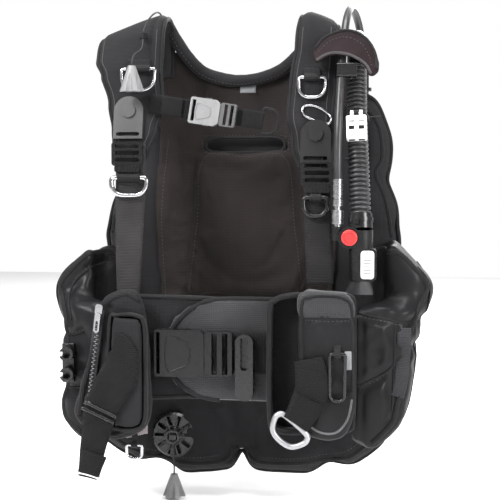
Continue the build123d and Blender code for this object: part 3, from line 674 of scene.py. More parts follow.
def stitches(name, tree, points, body="vest", pitch=4.4, closed=False):
    """A row of stitches laid on a soft piece."""
    line = lay_on(tree, front_line(points, pitch * MM, closed), lift=0.25 * MM)
    points, faces = [], []
    for a, b in zip(line, line[1:]):
        ahead = b - a
        if not 0.4 * pitch * MM < ahead.length < 2.5 * pitch * MM:
            continue
        side = ahead.cross(-Vector(FORWARD)).normalized() * THREAD_RADIUS
        top = Vector(FORWARD) * THREAD_RADIUS
        first = len(points)
        for share, size in ((0.12, 0.4), (0.3, 1.0), (0.52, 1.0), (0.7, 0.4)):
            middle = a + ahead * share
            points.extend(middle + way * size for way in (side, top, -side, -top))
        for r in range(3):
            for k in range(4):
                n = (k + 1) % 4
                row = first + 4 * r
                faces.append((row + k, row + n, row + 4 + n, row + 4 + k))
        faces.append((first + 3, first + 2, first + 1, first))
        faces.append((first + 12, first + 13, first + 14, first + 15))
    return mesh_piece(name, points, faces, THREAD, body)


def trim(surface, rows, body="vest"):
    """Lays bindings and stitches on a soft piece, from rows of (name, points, radius, material, flat).

    A row of only (name, points) is a row of stitches.
    """
    for name, points, *binding in rows:
        if binding:
            radius, material, flat = binding
            sewn_edge(name, surface, points, radius, material, body, flat=flat)
        else:
            stitches(name, surface, points, body)


# ------------------------------------------------------------------ hoses and pull cords
def route(name, points, radius=0.0):
    """A smooth curve whose control points are the given millimetre points."""
    data = bpy.data.curves.new(name, "CURVE")
    data.dimensions = "3D"
    data.resolution_u = 10
    data.bevel_depth = radius
    data.bevel_resolution = 4
    data.use_fill_caps = True
    spline = data.splines.new("NURBS")
    spline.points.add(len(points) - 1)
    for control, point in zip(spline.points, points):
        control.co = (*mm(*point), 1)
    spline.order_u = 3
    spline.use_endpoint_u = True
    return add_object(name, data)


def route_line(points):
    """Points along the middle of a route's curve."""
    obj = route("line", points)
    depsgraph = bpy.context.evaluated_depsgraph_get()
    mesh = bpy.data.meshes.new_from_object(obj.evaluated_get(depsgraph))
    line = [v.co.copy() for v in mesh.vertices]
    bpy.data.objects.remove(obj)
    return line


def length_of(line):
    return sum((b - a).length for a, b in zip(line, line[1:]))


def even(line, step):
    """The same line with its points a fixed distance apart."""
    total = length_of(line)
    count = max(2, round(total / step))
    result, index, run = [line[0].copy()], 0, 0.0
    for k in range(1, count):
        goal = total * k / count
        while run + (line[index + 1] - line[index]).length < goal:
            run += (line[index + 1] - line[index]).length
            index += 1
        span = line[index + 1] - line[index]
        result.append(line[index] + span * ((goal - run) / span.length))
    result.append(line[-1].copy())
    return result


HOSE_ROUTE = (
    (131.8, -273.5, 93), (131.8, -273.5, 136), (132.6, -263, 180), (134, -247, 222), (135.2, -226, 262),
    (137, -197, 298), (141, -158, 316), (147, -120, 307), (152.5, -94, 275), (155.5, -80, 233),
    (156.5, -76, 188), (156, -78, 142), (157.5, -77, 96), (158, -79, 52), (158, -79, 12),
)
CORRUGATED_ROUTE = (
    (151, -214, 234), (152, -229, 190), (154.5, -247, 140), (157.5, -260, 94), (159.5, -268, 50),
)
LOWER_CORD_ROUTE = (
    (-98.6, -157.6, -256.4), (-98.3, -157.6, -275), (-97.2, -156.7, -293), (-97.2, -156.7, -311),
)
SHOULDER_CORD_ROUTE = (
    (-118, -90, 196), (-117, -104, 226), (-114, -122, 256), (-111, -137, 284), (-109, -153, 303),
    (-109, -182, 311), (-111, -210, 304.5), (-116, -227.5, 291.5), (-119, -232.5, 279),
)
PULL_CORD_ROUTE = (
    (-119, -232.5, 278), (-119, -232.5, 263), (-120, -243, 254), (-125, -257, 249), (-127, -262, 240),
    (-127, -262, 234),
)

hose_line = even(route_line(HOSE_ROUTE), 3 * MM)
hose = route("inflator_hose_cover", HOSE_ROUTE, 5 * MM)
finish_piece(hose, HOSE, "vest")
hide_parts("inflator_hose")

RING_PITCH = 5.7 * MM  # between two rings of the corrugated hose
RING_DEPTH = 0.27  # of a groove, as a share of the hose's radius
GROOVE_SHARPNESS = 2.4
ribs_line = even(route_line(CORRUGATED_ROUTE), RING_PITCH / 10)
ribs_length = length_of(ribs_line)


def ring_size(share):
    """The corrugated hose's radius along its length, as a share of that of its rings."""
    turn = share * ribs_length / RING_PITCH * 2 * math.pi
    return 1 - RING_DEPTH * (0.5 + 0.5 * math.cos(turn)) ** GROOVE_SHARPNESS


corrugated = rod_along(
    "corrugated_hose_rings", ribs_line, 13 * MM, HOSE, up=(1, 0, 0), sides=36, scale=ring_size,
)
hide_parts("corrugated_hose")
for name, points, node, body, length, ends in (
    ("lower_pull_cord", LOWER_CORD_ROUTE, "lower_dump_cord", "lower_dump_pull", 0.0546, "lower_dump_knob"),
    ("shoulder_release_cord", SHOULDER_CORD_ROUTE, "shoulder_dump_cord", "vest", 0.217, None),
    ("shoulder_knob_cord", PULL_CORD_ROUTE, "shoulder_pull_cord", "shoulder_dump_pull", 0.059,
     "shoulder_dump_knob"),
):
    cord = route(name, points, 1.1 * MM)
    finish_piece(cord, CORD, body)
    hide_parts(node)


# ------------------------------------------------------------------ air cell
def clamp(value):
    return max(0.0, min(1.0, value))


def cell_room(co):
    """How far the air cell may swell: freely in its lobes and on its back beside the saddle."""
    x, y, z = co / MM
    if y < -122:
        free = clamp((-205 - z) / 20) + clamp((abs(x) - 158) / 10) * clamp((z - 25) / 20)
        return (0.6 + 10 * clamp(free)) * MM
    beside = max(clamp((abs(x) - 80) / 16), clamp((-106 - z) / 14), clamp((z - 145) / 8))
    return (0.8 + 12 * beside) * MM


def pinch_rim(obj, reach, thin):
    """Draws a flat bag's front and back together near its outline, as at a sewn rim."""
    walls = [v.co for v in obj.data.vertices if abs(v.normal.y) < 0.4]
    middle = (min(p.y for p in walls) + max(p.y for p in walls)) / 2
    tree = KDTree(len(walls))
    for i, p in enumerate(walls):
        tree.insert((p.x, 0, p.z), i)
    tree.balance()
    for v in obj.data.vertices:
        gap = tree.find((v.co.x, 0, v.co.z))[2]
        share = thin + (1 - thin) * math.sqrt(min(1.0, gap / reach))
        v.co.y = middle + (v.co.y - middle) * share


def rim_line(surface, centre, count):
    """The outline of a piece seen from the front, found from outside towards a centre in millimetres."""
    line = []
    for k in range(count):
        turn = 2 * math.pi * k / count
        out = Vector((math.cos(turn), 0, math.sin(turn)))
        hit = surface.ray_cast(mm(*centre) + out * 0.6, -out)[0]
        if hit:
            line.append(hit)
    return line


# the lobes are drawn up a little as they fill: by a share of how far a point is below this height
LOBE_TOP = -250 * MM
LOBE_LIFT = 0.12

cell = soft_copy("air_cell_bladder", "air_cell", 5.5, 5)
cell_seams = [
    front_line(((-8, -284), (-8, -200), (-6, -110), (0, 30), (0, 150))),
    front_line(((-196, -160), (-150, -176), (-80, -178), (0, -176), (80, -178), (150, -176), (196, -160))),
    front_line(((-120, -300), (-110, -240), (-120, -180))),
    front_line(((110, -298), (104, -240), (112, -180))),
]
inflate(cell, cell_room, cell_seams, pressure=5.0)
pinch_rim(cell, 24 * MM, 0.3)
for vertex in cell.data.vertices:
    vertex.co.z += max(0.0, LOBE_TOP - vertex.co.z) * LOBE_LIFT
rumple(cell, 1.6 * MM, 24, (1, 1, 0.6), keep=lambda co: clamp(cell_room(co) / (6 * MM)))
subdivide(cell)
cover(cell, "air_cell", CLOTH)


# ------------------------------------------------------------------ CAD pieces that stay
# each one's material, and the radius of its rounded edges in millimetres
KEPT = {
    "back_plate": (SADDLE, 1.2), "cam_buckle_frame": (BLACK, 0.8), "cam_lever": (DARK, 0.8),
    "rotating_plates": (PLATE, 0.9), "ladder_adjusters": (BLACK, 0.7), "chest_buckle_female": (LIGHT, 0.8),
    "chest_buckle_male": (MIDDLE, 0.6), "chest_prong_upper": (MIDDLE, 0.4),
    "chest_prong_lower": (MIDDLE, 0.4), "waist_buckle_female": (DARK, 1.0), "waist_buckle_male": (DARK, 0.8),
    "waist_prong_upper": (DARK, 0.5), "waist_prong_lower": (DARK, 0.5), "waist_slider": (BLACK, 1.2),
    "hose_clip_hip": (BLACK, 0.9), "lower_dump_valve": (BLACK, 0.6), "shoulder_dump_valve": (BLACK, 0.6),
    "hose_clamps": (BLACK, 0.7), "inflator_body": (BLACK, 1.0), "mouthpiece": (HOSE, 1.0),
    "hose_fittings": (PLATED, 0.4), "upper_ring_right": (STEEL, 0), "upper_ring_left": (STEEL, 0),
    "lower_ring_right": (STEEL, 0), "lower_ring_left": (BLACK, 0), "pocket_ring": (BLACK, 0),
    "hip_ring": (STEEL, 0), "whistle": (WHITE, 0.8), "zipper_slider": (STEEL, 0.4),
    "inflate_button": (RED, 0.6), "deflate_button": (WHITE, 0.8), "coupling_collar": (PLATED, 0.3),
    "lower_dump_poppet": (DARK, 0), "lower_dump_knob": (LIGHT, 0.6), "shoulder_dump_knob": (LIGHT, 0.6),
}
for node, (material, edge) in KEPT.items():
    obj = nodes[node]
    obj.data.materials.clear()
    obj.data.materials.append(material)
    if edge:
        rounding = obj.modifiers.new("rounded_edges", "BEVEL")
        rounding.width = edge * MM
        rounding.segments = 2
        rounding.limit_method = "ANGLE"
        rounding.angle_limit = math.radians(38)
        rounding.harden_normals = True


# the left rotating plate takes a darker copy of the plate grey: painted shade on the less lit side
plates = nodes["rotating_plates"].data
plates.materials.append(PLATE_PAINTED_SHADE)
for face in plates.polygons:
    face.material_index = 1 if face.center.x > 0 else 0

COIL_POINTS = 20  # in each turn of a spring


def coil(name, start, radius, height, turns, wire):
    """A spring that stands forward from start."""
    count = round(turns * COIL_POINTS)
    line = []
    for k in range(count + 1):
        turn = 2 * math.pi * turns * k / count
        x = start[0] + radius * math.cos(turn)
        z = start[2] + radius * math.sin(turn)
        line.append(mm(x, start[1] - height * k / count, z))
    spring = rod_along(name, line, wire * MM, SPRING, sides=8)
    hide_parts("springs")
    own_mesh(spring)


coil("dump_spring", (-98.6, -142.0, -258.7), 9.3, 5.4, 2.5, 0.7)
coil("inflate_spring", (147.0, -275.9, 22.0), 6.5, 3.0, 2, 0.45)
coil("deflate_spring", (169.0, -276.6, -11.0), 5.0, 2.6, 2, 0.4)


def ring_of_points(centre, radius):
    """Points round a circle that faces forward, in metres."""
    turns = [math.radians(15 * k) for k in range(24)]
    return [centre + Vector((radius * math.cos(t), 0, radius * math.sin(t))) for t in turns]


# raised spokes and a hub on the lower valve's grille
SPOKES = 10
SPOKE_FROM, SPOKE_TO = 10 * MM, 26 * MM
HUB_RADIUS = 8.6 * MM
low_valve, high_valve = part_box("lower_dump_valve")
grille_middle = Vector(((low_valve.x + high_valve.x) / 2, low_valve.y, (low_valve.z + high_valve.z) / 2))
for k in range(SPOKES):
    turn = 2 * math.pi * k / SPOKES
    out = Vector((math.cos(turn), 0, math.sin(turn)))
    spoke = [grille_middle + Vector((0, -0.1 * MM, 0)) + out * r for r in (SPOKE_FROM, SPOKE_TO)]
    rod_along(f"valve_spoke_{k}", smooth_line(spoke), 0.8 * MM, PLATE, sides=8)
hub_ring = ring_of_points(grille_middle + Vector((0, -0.2 * MM, 0)), HUB_RADIUS)
rod_along("valve_hub_ring", hub_ring, 1.4 * MM, PLATE, closed=True, sides=8, up=FORWARD)

CUBE_CORNERS = [(a, b, c) for a in (-1, 1) for b in (-1, 1) for c in (-1, 1)]
CUBE_FACES = ((0, 1, 3, 2), (4, 6, 7, 5), (0, 4, 5, 1), (2, 3, 7, 6), (0, 2, 6, 4), (1, 5, 7, 3))


def insets(name, place, boxes, material, body):
    """Small blocks in a plan of their own, from (x, y, z, width, depth, height) in millimetres."""
    points, faces = [], []
    for x, y, z, width, depth, height in boxes:
        first = len(points)
        for a, b, c in CUBE_CORNERS:
            points.append(place @ mm(x + a * width / 2, y + b * depth / 2, z + c * height / 2))
        faces.extend(tuple(first + i for i in face) for face in CUBE_FACES)
    obj = mesh_piece(name, points, faces, material, body)
    obj.data.shade_flat()
    return obj


# the whistle hangs along the corrugated hose
hose_run = (mm(*CORRUGATED_ROUTE[1]) - mm(*CORRUGATED_ROUTE[2])).normalized()
side_way = (Vector((1, 0, 0)) - hose_run * hose_run.x).normalized()
whistle_turn = Matrix((side_way, hose_run.cross(side_way), hose_run)).transposed().to_4x4()
WHISTLE = Matrix.Translation(mm(153.2, -237.8, 166.5)) @ whistle_turn
# black blocks in the whistle's windows and mouth: painted shade inside its openings
insets("whistle_window_shade", WHISTLE, [(x, -27.0, -21.5, 6.6, 2.8, 4.6) for x in (-6, 6)], BLACK, "whistle")
insets("whistle_mouth_shade", WHISTLE, [(x, -22.6, -35.2, 7.4, 5.4, 1.4) for x in (-6, 6)], BLACK, "whistle")
insets(
    "deflate_ridges", Matrix.Translation(mm(169, -287, -11)),
    [(0, 0, z, 9, 0.9, 1.3) for z in (-10, -6, -2, 2, 6, 10)], LIGHT, "deflate_button",
)
# a darker red ring round the inflate button: painted shade in the groove round it
button_shade_ring = ring_of_points(mm(147, -287, 22), 6.2 * MM)
rod_along(
    "inflate_button_shade_ring", button_shade_ring, 0.7 * MM, RED_PAINTED_SHADE, "inflate_button", closed=True, sides=8,
    up=FORWARD,
)


# ------------------------------------------------------------------ back panel, lumbar pad and collar
def panel_room(co):
    """How far the back panel may swell: nothing at its back, and most where it stands forward."""
    y = co.y / MM
    if y > -142:
        return 0.0
    return (4.5 if y < -151 else 2.2) * MM


panel = soft_copy("back_panel_cloth", "back_panel", 4.0, 3)
lumbar_line = front_line(((-83, -90), (-72, 30), (-61, 127), (0, 129), (61, 127), (74, 30), (85, -90)))
panel_seams = [
    lumbar_line, front_line(((-112, -80), (-116, 40), (-104, 150))),
    front_line(((112, -80), (116, 40), (104, 150))),
]
inflate(panel, panel_room, panel_seams, pressure=4.0, seam_width=3.0)
crease(panel, [lumbar_line], 1.2 * MM, 4 * MM, FORWARD)
front_crease(panel, ((-98, 150), (-92, 90), (-101, 20), (-94, -60)), 3.2, 7)
front_crease(panel, ((-112, 110), (-84, 160), (-60, 178)), 2.4, 6)
front_crease(panel, ((94, 150), (98, 90), (92, 20), (98, -60)), 3.0, 6)
rumple(panel, 2.2 * MM, 15, (1.8, 1, 0.45), keep=lambda co: clamp((-142 - co.y / MM) / 2))
for points in (
    ((-84, -40), (-70, 10), (-74, 60)), ((-40, -60), (-30, -10), (-38, 60)), ((46, -60), (36, 0), (40, 50)),
    ((110, -60), (104, -10), (112, 40)), ((-108, -60), (-112, 0), (-100, 50)),
):
    front_crease(panel, points, 2.2, 11)
subdivide(panel)
cover(panel, "back_panel", PANEL)
panel_surface = surface_of(panel)
stitches(
    "lumbar_stitches", panel_surface,
    ((-76, -58), (-65, 30), (-55, 119), (0, 121), (55, 119), (67, 30), (78, -56)),
)
stitches(
    "handhold_stitches", panel_surface,
    ((-52, 149), (0, 150), (52, 149), (58, 137), (50, 126), (0, 125), (-50, 126), (-58, 137)), closed=True,
)
for side, sign in (("right", -1), ("left", 1)):
    edge_points = ((sign * 110, -76), (sign * 115, 40), (sign * 105, 146))
    stitches("panel_stitches_" + side, panel_surface, edge_points)
# the handhold's bound lip
rod_along(
    "handhold_lip", smooth_line([mm(x, -147.6, z) for x, z in (
        (-44, 146.5), (0, 147), (44, 146.5), (53, 137), (44, 127.5), (0, 127), (-44, 127.5), (-53, 137),
    )], closed=True), 2.0 * MM, BINDING, flat=0.8, up=FORWARD, closed=True,
)

collar_points = (
    (-106, 300), (-86, 266), (-62, 238), (-36, 226), (-10, 222), (20, 225), (48, 235), (72, 256), (92, 281),
)
collar_line = smooth_line([mm(x, -151, z) for x, z in collar_points], 3 * MM)
collar = rod_along("collar_roll_cover", collar_line, 8.2 * MM, CLOTH, flat=0.92, up=FORWARD, sides=24)
rumple(collar, 0.7 * MM, 110, (0.5, 1, 0.5))
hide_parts("collar_roll")
collar_surface = surface_of(collar)
stitches("collar_stitches", collar_surface, [(x, z - 5) for x, z in collar_points], pitch=5)


# ------------------------------------------------------------------ shoulder pads
def stations(*rows):
    """Two functions of the share of the length, from rows of (share, low, high) in millimetres."""
    def value(column):
        def at(share):
            for a, b in zip(rows, rows[1:]):
                if share <= b[0]:
                    part = clamp((share - a[0]) / (b[0] - a[0]))
                    part = part * part * (3 - 2 * part)
                    return (a[column] + (b[column] - a[column]) * part) * MM
            return rows[-1][column] * MM
        return at
    return value(1), value(2)


PAD_LINE = (
    (-147, 228), (-147, 262), (-156, 290), (-180, 300.5), (-206, 292), (-219, 265), (-228, 205), (-239, 152),
)
pad_edges = {
    "right": stations(
        (0, -150, -99), (0.25, -181, -96), (0.5, -182, -97), (0.62, -174, -98), (0.75, -163, -94),
        (0.86, -157, -102), (0.95, -154, -112), (1, -148, -118),
    ),
    "left": stations(
        (0, 92, 122), (0.3, 80, 126), (0.5, 76, 126), (0.65, 70, 124), (0.78, 67, 122), (0.9, 74, 121),
        (1, 84, 116),
    ),
}
# where each pad's crest is, in x, and how steeply the pad falls away beyond it near its top
PAD_FALL = {"right": (-106, -0.36), "left": (92, 0.4)}
SEAM_INSET = 7 * MM
pad_surfaces = {}


def fall_away(side, p):
    """A pad's point, lowered by how far out it is past the pad's crest."""
    crest, slope = PAD_FALL[side]
    past = max(0.0, (p.x / MM - crest) * (1 if slope > 0 else -1))
    share = clamp((p.z / MM - 215) / 60)
    return Vector((p.x, p.y, p.z - past * abs(slope) * share * MM))


for side, foot in (("right", (-247.5, 114)), ("left", (-249, 106))):
    low, high = pad_edges[side]
    line = smooth_line([mm(0, y, z) for y, z in (*PAD_LINE, foot)], 3.5 * MM)
    pad = padded_strip("shoulder_pad_" + side, line, (1, 0, 0), low, high, 12.5 * MM, CLOTH, wrinkle=1.2 * MM)
    for v in pad.data.vertices:
        v.co = fall_away(side, v.co)
    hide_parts("shoulder_pads")
    pad_surfaces[side] = surface_of(pad)
    along = tangents(line)
    last = len(line) - 1
    for edge, name in ((low, "low"), (high, "high")):
        rim = [fall_away(side, p + Vector((edge(i / last), 0, 0))) for i, p in enumerate(line)]
        rod_along(f"shoulder_binding_{side}_{name}", rim, 3.3 * MM, BINDING, flat=0.8, up=(1, 0, 0))
        inset = SEAM_INSET if edge is low else -SEAM_INSET
        seam = [fall_away(side, p + Vector((edge(i / last) + inset, 0, 0))) for i, p in enumerate(line)]
        in_front = [p.copy() for p in seam if p.z < 285 * MM and p.y < -200 * MM]
        laid = lay_on(pad_surfaces[side], in_front, (0, 1, 0), 0.3 * MM)
        if len(laid) > 3:
            rod_along(f"shoulder_seam_{side}_{name}", laid, 0.6 * MM, THREAD, sides=6)


# a second wire loop that shows at the left pad's inner side
loop_line = lay_on(pad_surfaces["left"], front_line(
    ((86, 182), (97, 184), (112, 178), (121, 168), (117, 161), (104, 164), (88, 172)), 2.5 * MM, closed=True,
), lift=1.8 * MM)
rod_along("left_wire_loop", loop_line, 1.6 * MM, STEEL, up=FORWARD, closed=True)
size_tab = lay_on(panel_surface, front_line(((4, 219.5), (4, 213), (4, 206))), lift=1.2 * MM)
band("blank_size_tab", size_tab, 0.021, 0.8 * MM, LABEL)


# ------------------------------------------------------------------ webbing
STRAP_LEAN = math.radians(2.6)  # the shoulder straps lean forward as they go down


def strap_y(z):
    return (-257 - (120 - z) * math.tan(STRAP_LEAN)) * MM


def share_width(*widths):
    """Width in millimetres at even shares of the length."""
    def at(share):
        place = share * (len(widths) - 1)
        i = min(int(place), len(widths) - 2)
        return (widths[i] + (widths[i + 1] - widths[i]) * (place - i)) * MM
    return at


# the right strap's lighter webbing is painted light
for side, points, width, material, widths in (
    ("right", ((-131, 137), (-130, 90), (-132, 20), (-133, -69)), 0.039, PAINTED_LIGHT_WEBBING, (39, 39, 34, 27)),
    ("left", ((105, 108), (106, 60), (109, 0), (110, -37)), 0.034, WEBBING, (32, 33, 34, 33)),
):
    line = smooth_line([Vector((x * MM, strap_y(z), z * MM)) for x, z in points])
    strap_piece = band(
        "shoulder_strap_" + side, line, width, 2.0 * MM, material, widths=share_width(*widths),
    )
    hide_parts("shoulder_straps")

CHEST = Matrix.Translation(mm(-17, -254, 173.5)) @ Matrix.Rotation(math.radians(9), 4, "Y")
WAIST = Matrix.Translation(mm(-28, -303.4, -120))


def placed(place, points):
    """A line drawn in a buckle's own plan, in millimetres."""
    return smooth_line([place @ mm(x, y, 0) for x, y in points], 2 * MM)


face_out = CHEST.to_3x3() @ Vector(FORWARD)
# each piece's line in its buckle's plan, its width and thickness, and the CAD node that it stands for
for name, place, points, width, thick, node in (
    ("chest_webbing_right", CHEST, (
        (-92, 11), (-78, 9.5), (-60, 9.6), (-46, 7.4), (-37, 6.6), (-34, 4.2), (-33.4, 1.2),
    ), 0.025, 1.8, "chest_webbing"),
    ("chest_webbing_left", CHEST, (
        (15.2, 1.2), (15.5, 4.6), (18.5, 6.2), (26, 5.6), (34, 1.6), (42, 0.4), (50.8, 2.8), (54.5, 3.3),
    ), 0.022, 1.8, "chest_webbing"),
    ("chest_webbing_fold", CHEST, ((-76, 6.6), (-70, 5.9), (-60, 6.4), (-49, 5.4)), 0.025, 1.8, None),
    ("chest_webbing_tail", CHEST, ((55.6, -3.0), (50, -1.6), (40, -1.6), (29, 2.9)), 0.022, 1.6, None),
    ("waist_webbing_right", WAIST, (
        (-121, 7.6), (-90, 7.4), (-62, 7.5), (-58, 6.2), (-57, 1.6),
    ), 0.050, 2.0, "waist_webbing"),
    ("waist_webbing_left", WAIST, (
        (25.8, 1.2), (26.6, 4.6), (30, 7.0), (38, 7.6), (110, 7.6), (174, 7.6),
    ), 0.050, 2.0, "waist_webbing"),
):
    facing = face_out if place is CHEST else FORWARD
    webbing = band(name, placed(place, points), width, thick * MM, BELTING, up=facing)
    if node:
        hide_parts(node)


def buckle_relief(name, place, shape, front, radius, material):
    """A raised line moulded on a buckle's face, from (x, z) in the buckle's own plan."""
    line = smooth_line([place @ mm(x, front, z) for x, z in shape], 2 * MM, closed=True)
    rod_along(name, line, radius * MM, material, up=place.to_3x3() @ Vector(FORWARD), closed=True, sides=8)


for name, place, material, length, half in (("chest", CHEST, LIGHT, 29, 9), ("waist", WAIST, DARK, 46, 20)):
    low_buckle, high_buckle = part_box(name + "_buckle_female")
    middle_x, middle_z = (low_buckle.x + high_buckle.x) / 2, (low_buckle.z + high_buckle.z) / 2
    front = (place.inverted() @ Vector((middle_x, low_buckle.y, middle_z))).y / MM
    upper_side = ((-length, half), (-length * 0.62, half * 0.86), (-length * 0.4, half * 0.5))
    ridge = ((-length, -half), *upper_side, *((x, -z) for x, z in reversed(upper_side[1:])))
    buckle_relief(name + "_buckle_ridge", place, ridge, front, 0.9, material)


# ------------------------------------------------------------------ cummerbund
belly_line = smooth_line(
    [mm(x, y, 0) for x, y in ((-147, -279), (-100, -282.6), (-40, -283.4), (44, -283.6))], 3 * MM,
)
low, high = stations((0, -184, -50), (0.5, -181, -51), (0.94, -174, -54), (1, -166, -62))
belly_right = padded_strip(
    "cummerbund_right", belly_line, (0, 0, 1), low, high, 4.4 * MM, CLOTH, wrinkle=0.5 * MM, columns=40,
)
flap_line = smooth_line(
    [mm(x, y, 0) for x, y in ((-79, -289), (-40, -289.4), (60, -289.6), (120, -287), (147, -285))], 3 * MM,
)
low, high = stations(
    (0, -134, -106), (0.03, -150, -92), (0.09, -163, -76), (0.16, -174, -63), (0.26, -180, -54),
    (1, -182, -52),
)
belly_left = padded_strip(
    "cummerbund_left", flap_line, (0, 0, 1), low, high, 4.8 * MM, CLOTH, wrinkle=0.6 * MM, columns=40,
)
for piece in (belly_right, belly_left):
    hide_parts("cummerbund")
belly_left.data.materials[0] = SATIN
belly_surface = surface_of(belly_left)
flap_edge = (
    (60, -53), (0, -53), (-30, -57), (-55, -72), (-74, -96), (-79, -120), (-74, -146), (-58, -166),
    (-28, -179), (10, -181.5), (60, -182),
)
sewn_edge(
    "cummerbund_binding", belly_surface, [(x * 0.985 + 0.5, z * 0.985 - 1.8) for x, z in flap_edge], 3.0,
    BINDING, flat=0.5,
)
satin_inset = [(-30 + (x + 30) * 0.74, -117 + (z + 117) * 0.76) for x, z in flap_edge[1:-1]]
stitches("cummerbund_stitches", belly_surface, satin_inset)
right_surface = surface_of(belly_right)
trim(right_surface, (
    ("cummerbund_top_binding", ((-146, -52), (-100, -53.5), (-40, -54.5), (40, -57)), 2.8, BINDING, 0.55),
    ("cummerbund_low_binding", ((-146, -181), (-100, -180), (-40, -177), (40, -172)), 2.8, BINDING, 0.55),
))


# ------------------------------------------------------------------ hip wings
def wing_room(co):
    """How far a hip wing may swell: hardly where it is sewn on, and less on its inner side."""
    x, y, z = co / MM
    if y > -147 or (y < -282 and abs(x) < 168):
        return 0.4 * MM
    inside = abs(x) < 190 and y > -276
    return (2 if inside else 4) * MM


wings = soft_copy("hip_wing_left", "hip_wings", 5.5, 7)
left_seams = (
    ((140, -58), (153, -68), (184, -75), (214, -82), (236, -78)),
    ((147, -163), (160, -158), (192, -142), (212, -122), (226, -112)),
    ((203, -84), (202, -130), (200, -190)),
)
right_seams = (
    ((-150, -30), (-176, -16), (-204, -36), (-212, -56), (-204, -86)),
    ((-186, -100), (-205, -104), (-226, -96)), ((-190, -170), (-206, -172), (-222, -168)),
)
wing_seams = [front_line(points) for points in (*left_seams, *right_seams)]
inflate(wings, wing_room, wing_seams, pressure=5.0, seam_width=3.5)
crease(wings, wing_seams, 1.6 * MM, 2.6 * MM)
front_crease(wings, ((160, -20), (186, -44), (206, -60)), 3.2, 9)
front_crease(wings, ((172, -100), (184, -120), (180, -140)), 2.4, 7)
rumple(wings, 1.0 * MM, 16, (1, 1, 0.7), keep=lambda co: clamp(wing_room(co) / (5 * MM)))
subdivide(wings)
right_wing_mesh = wings.data.copy()


def keep_side(mesh, sign):
    """Leaves only the part of a mesh with x of this sign."""
    work = bmesh.new()
    work.from_mesh(mesh)
    bmesh.ops.delete(work, geom=[v for v in work.verts if v.co.x * sign < 0], context="VERTS")
    work.to_mesh(mesh)
    work.free()


wing_right = add_object("hip_wing_right", right_wing_mesh)
keep_side(wings.data, 1)
keep_side(wing_right.data, -1)
for wing in (wings, wing_right):
    finish_piece(wing, LEATHER, "vest")
    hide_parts("hip_wings")
left_wing_surface = surface_of(wings)
right_wing_surface = surface_of(wing_right)
for side, surface, seams, offset in (
    ("left", left_wing_surface, left_seams, -3), ("right", right_wing_surface, right_seams, 3),
):
    for index, points in enumerate(seams):
        trim(surface, (
            (f"wing_seam_{side}_{index}", points, 1.3, BINDING, 0.8),
            (f"wing_stitches_{side}_{index}", [(x, z + offset) for x, z in points]),
        ))
sewn_edge("wing_binding_left", left_wing_surface, (
    (160, -4), (184, 1), (204, 2), (226, -18), (241, -40), (231, -66), (221, -95), (214, -150), (206, -182),
    (200, -204), (176, -228),
), 3.4, BINDING)
sewn_edge("wing_binding_right", right_wing_surface, (
    (-166, -14), (-186, -3), (-206, -18), (-226, -44), (-218, -70), (-211, -95), (-207, -150), (-216, -202),
    (-190, -228),
), 3.4, BINDING)
for side, surface, toward in (
    ("left", left_wing_surface, (-1, 0, 0)), ("right", right_wing_surface, (1, 0, 0)),
):
    out = [-c for c in toward]
    for index, (y, radius) in enumerate(((-158, 2.8), (-236, 2.4))):
        upright = lay_on(
            surface, smooth_line([mm(0, y, z) for z in (-16, -60, -120, -180, -212)]), toward, 0.3 * MM,
        )
        if len(upright) > 4:
            rod_along(f"wing_side_binding_{side}_{index}", upright, radius * MM, BINDING, flat=0.5, up=out)
    for index, z in enumerate((-84, -150)):
        level = lay_on(surface, smooth_line([mm(0, y, z) for y in (-164, -198, -232)]), toward, 0.2 * MM)
        if len(level) > 4:
            rod_along(f"wing_side_seam_{side}_{index}", level, 0.9 * MM, THREAD, flat=0.6, up=out, sides=8)
elastic_line = lay_on(
    left_wing_surface, front_line(((214, -88), (214, -110), (211, -150), (206, -172))), lift=1.2 * MM,
)
band("wing_elastic", elastic_line, 0.017, 1.8 * MM, ELASTIC)


# ------------------------------------------------------------------ lobes of the air cell and its binding
def smoothed(points, rounds):
    """A closed line with each point drawn towards its neighbours."""
    for _ in range(rounds):
        points = [
            (points[i - 1] + points[i] * 2 + points[(i + 1) % len(points)]) / 4 for i in range(len(points))
        ]
    return points


cell_surface = surface_of(cell)
cell_middle = sum((v.co.y for v in cell.data.vertices), 0.0) / len(cell.data.vertices) / MM
rod_along(
    "cell_rim_binding", smoothed(rim_line(cell_surface, (0, cell_middle, -60), 420), 3), 3.2 * MM, BINDING,
    flat=0.9, up=FORWARD, closed=True, sides=10,
)
trim(cell_surface, (
    ("cell_binding_right_lobe", (
        (-196, -236), (-196, -255), (-150, -286), (-88, -298), (-30, -293), (-21, -278), (-12, -276),
    ), 3.0, BINDING, 0.55),
    ("cell_binding_left_lobe", (
        (2, -276), (12, -292), (70, -293), (138, -284), (172, -255), (178, -234),
    ), 3.0, BINDING, 0.55),
    ("cell_stitches_right", ((-186, -246), (-146, -278), (-88, -290), (-36, -285))),
    ("cell_stitches_left", ((18, -285), (70, -286), (133, -276), (166, -250))),
    ("cell_binding_side", (
        (150, 198), (172, 170), (180, 145), (181, 118), (173, 98), (186, 64), (195, 14),
    ), 3.0, BINDING, 0.55),
    ("cell_binding_right_side", ((-146, 88), (-174, 64), (-188, 18)), 3.0, BINDING, 0.55),
))
for index, (z, reach) in enumerate(((174, 181), (119, 180))):
    cord_line = smooth_line([mm(132, -142, z), mm(158, -143.5, z - 1), mm(reach - 2, -138, z + 1)], 3 * MM)
    rod_along(f"gather_cord_{index}", cord_line, 1.1 * MM, CORD, sides=8)
for points in (
    ((-118, -303), (-112, -262), (-126, -222)), ((-44, -214), (-30, -236), (-26, -262)),
    ((22, -214), (6, -238), (12, -268)),
):
    front_crease(cell, points, 4.0, 8)


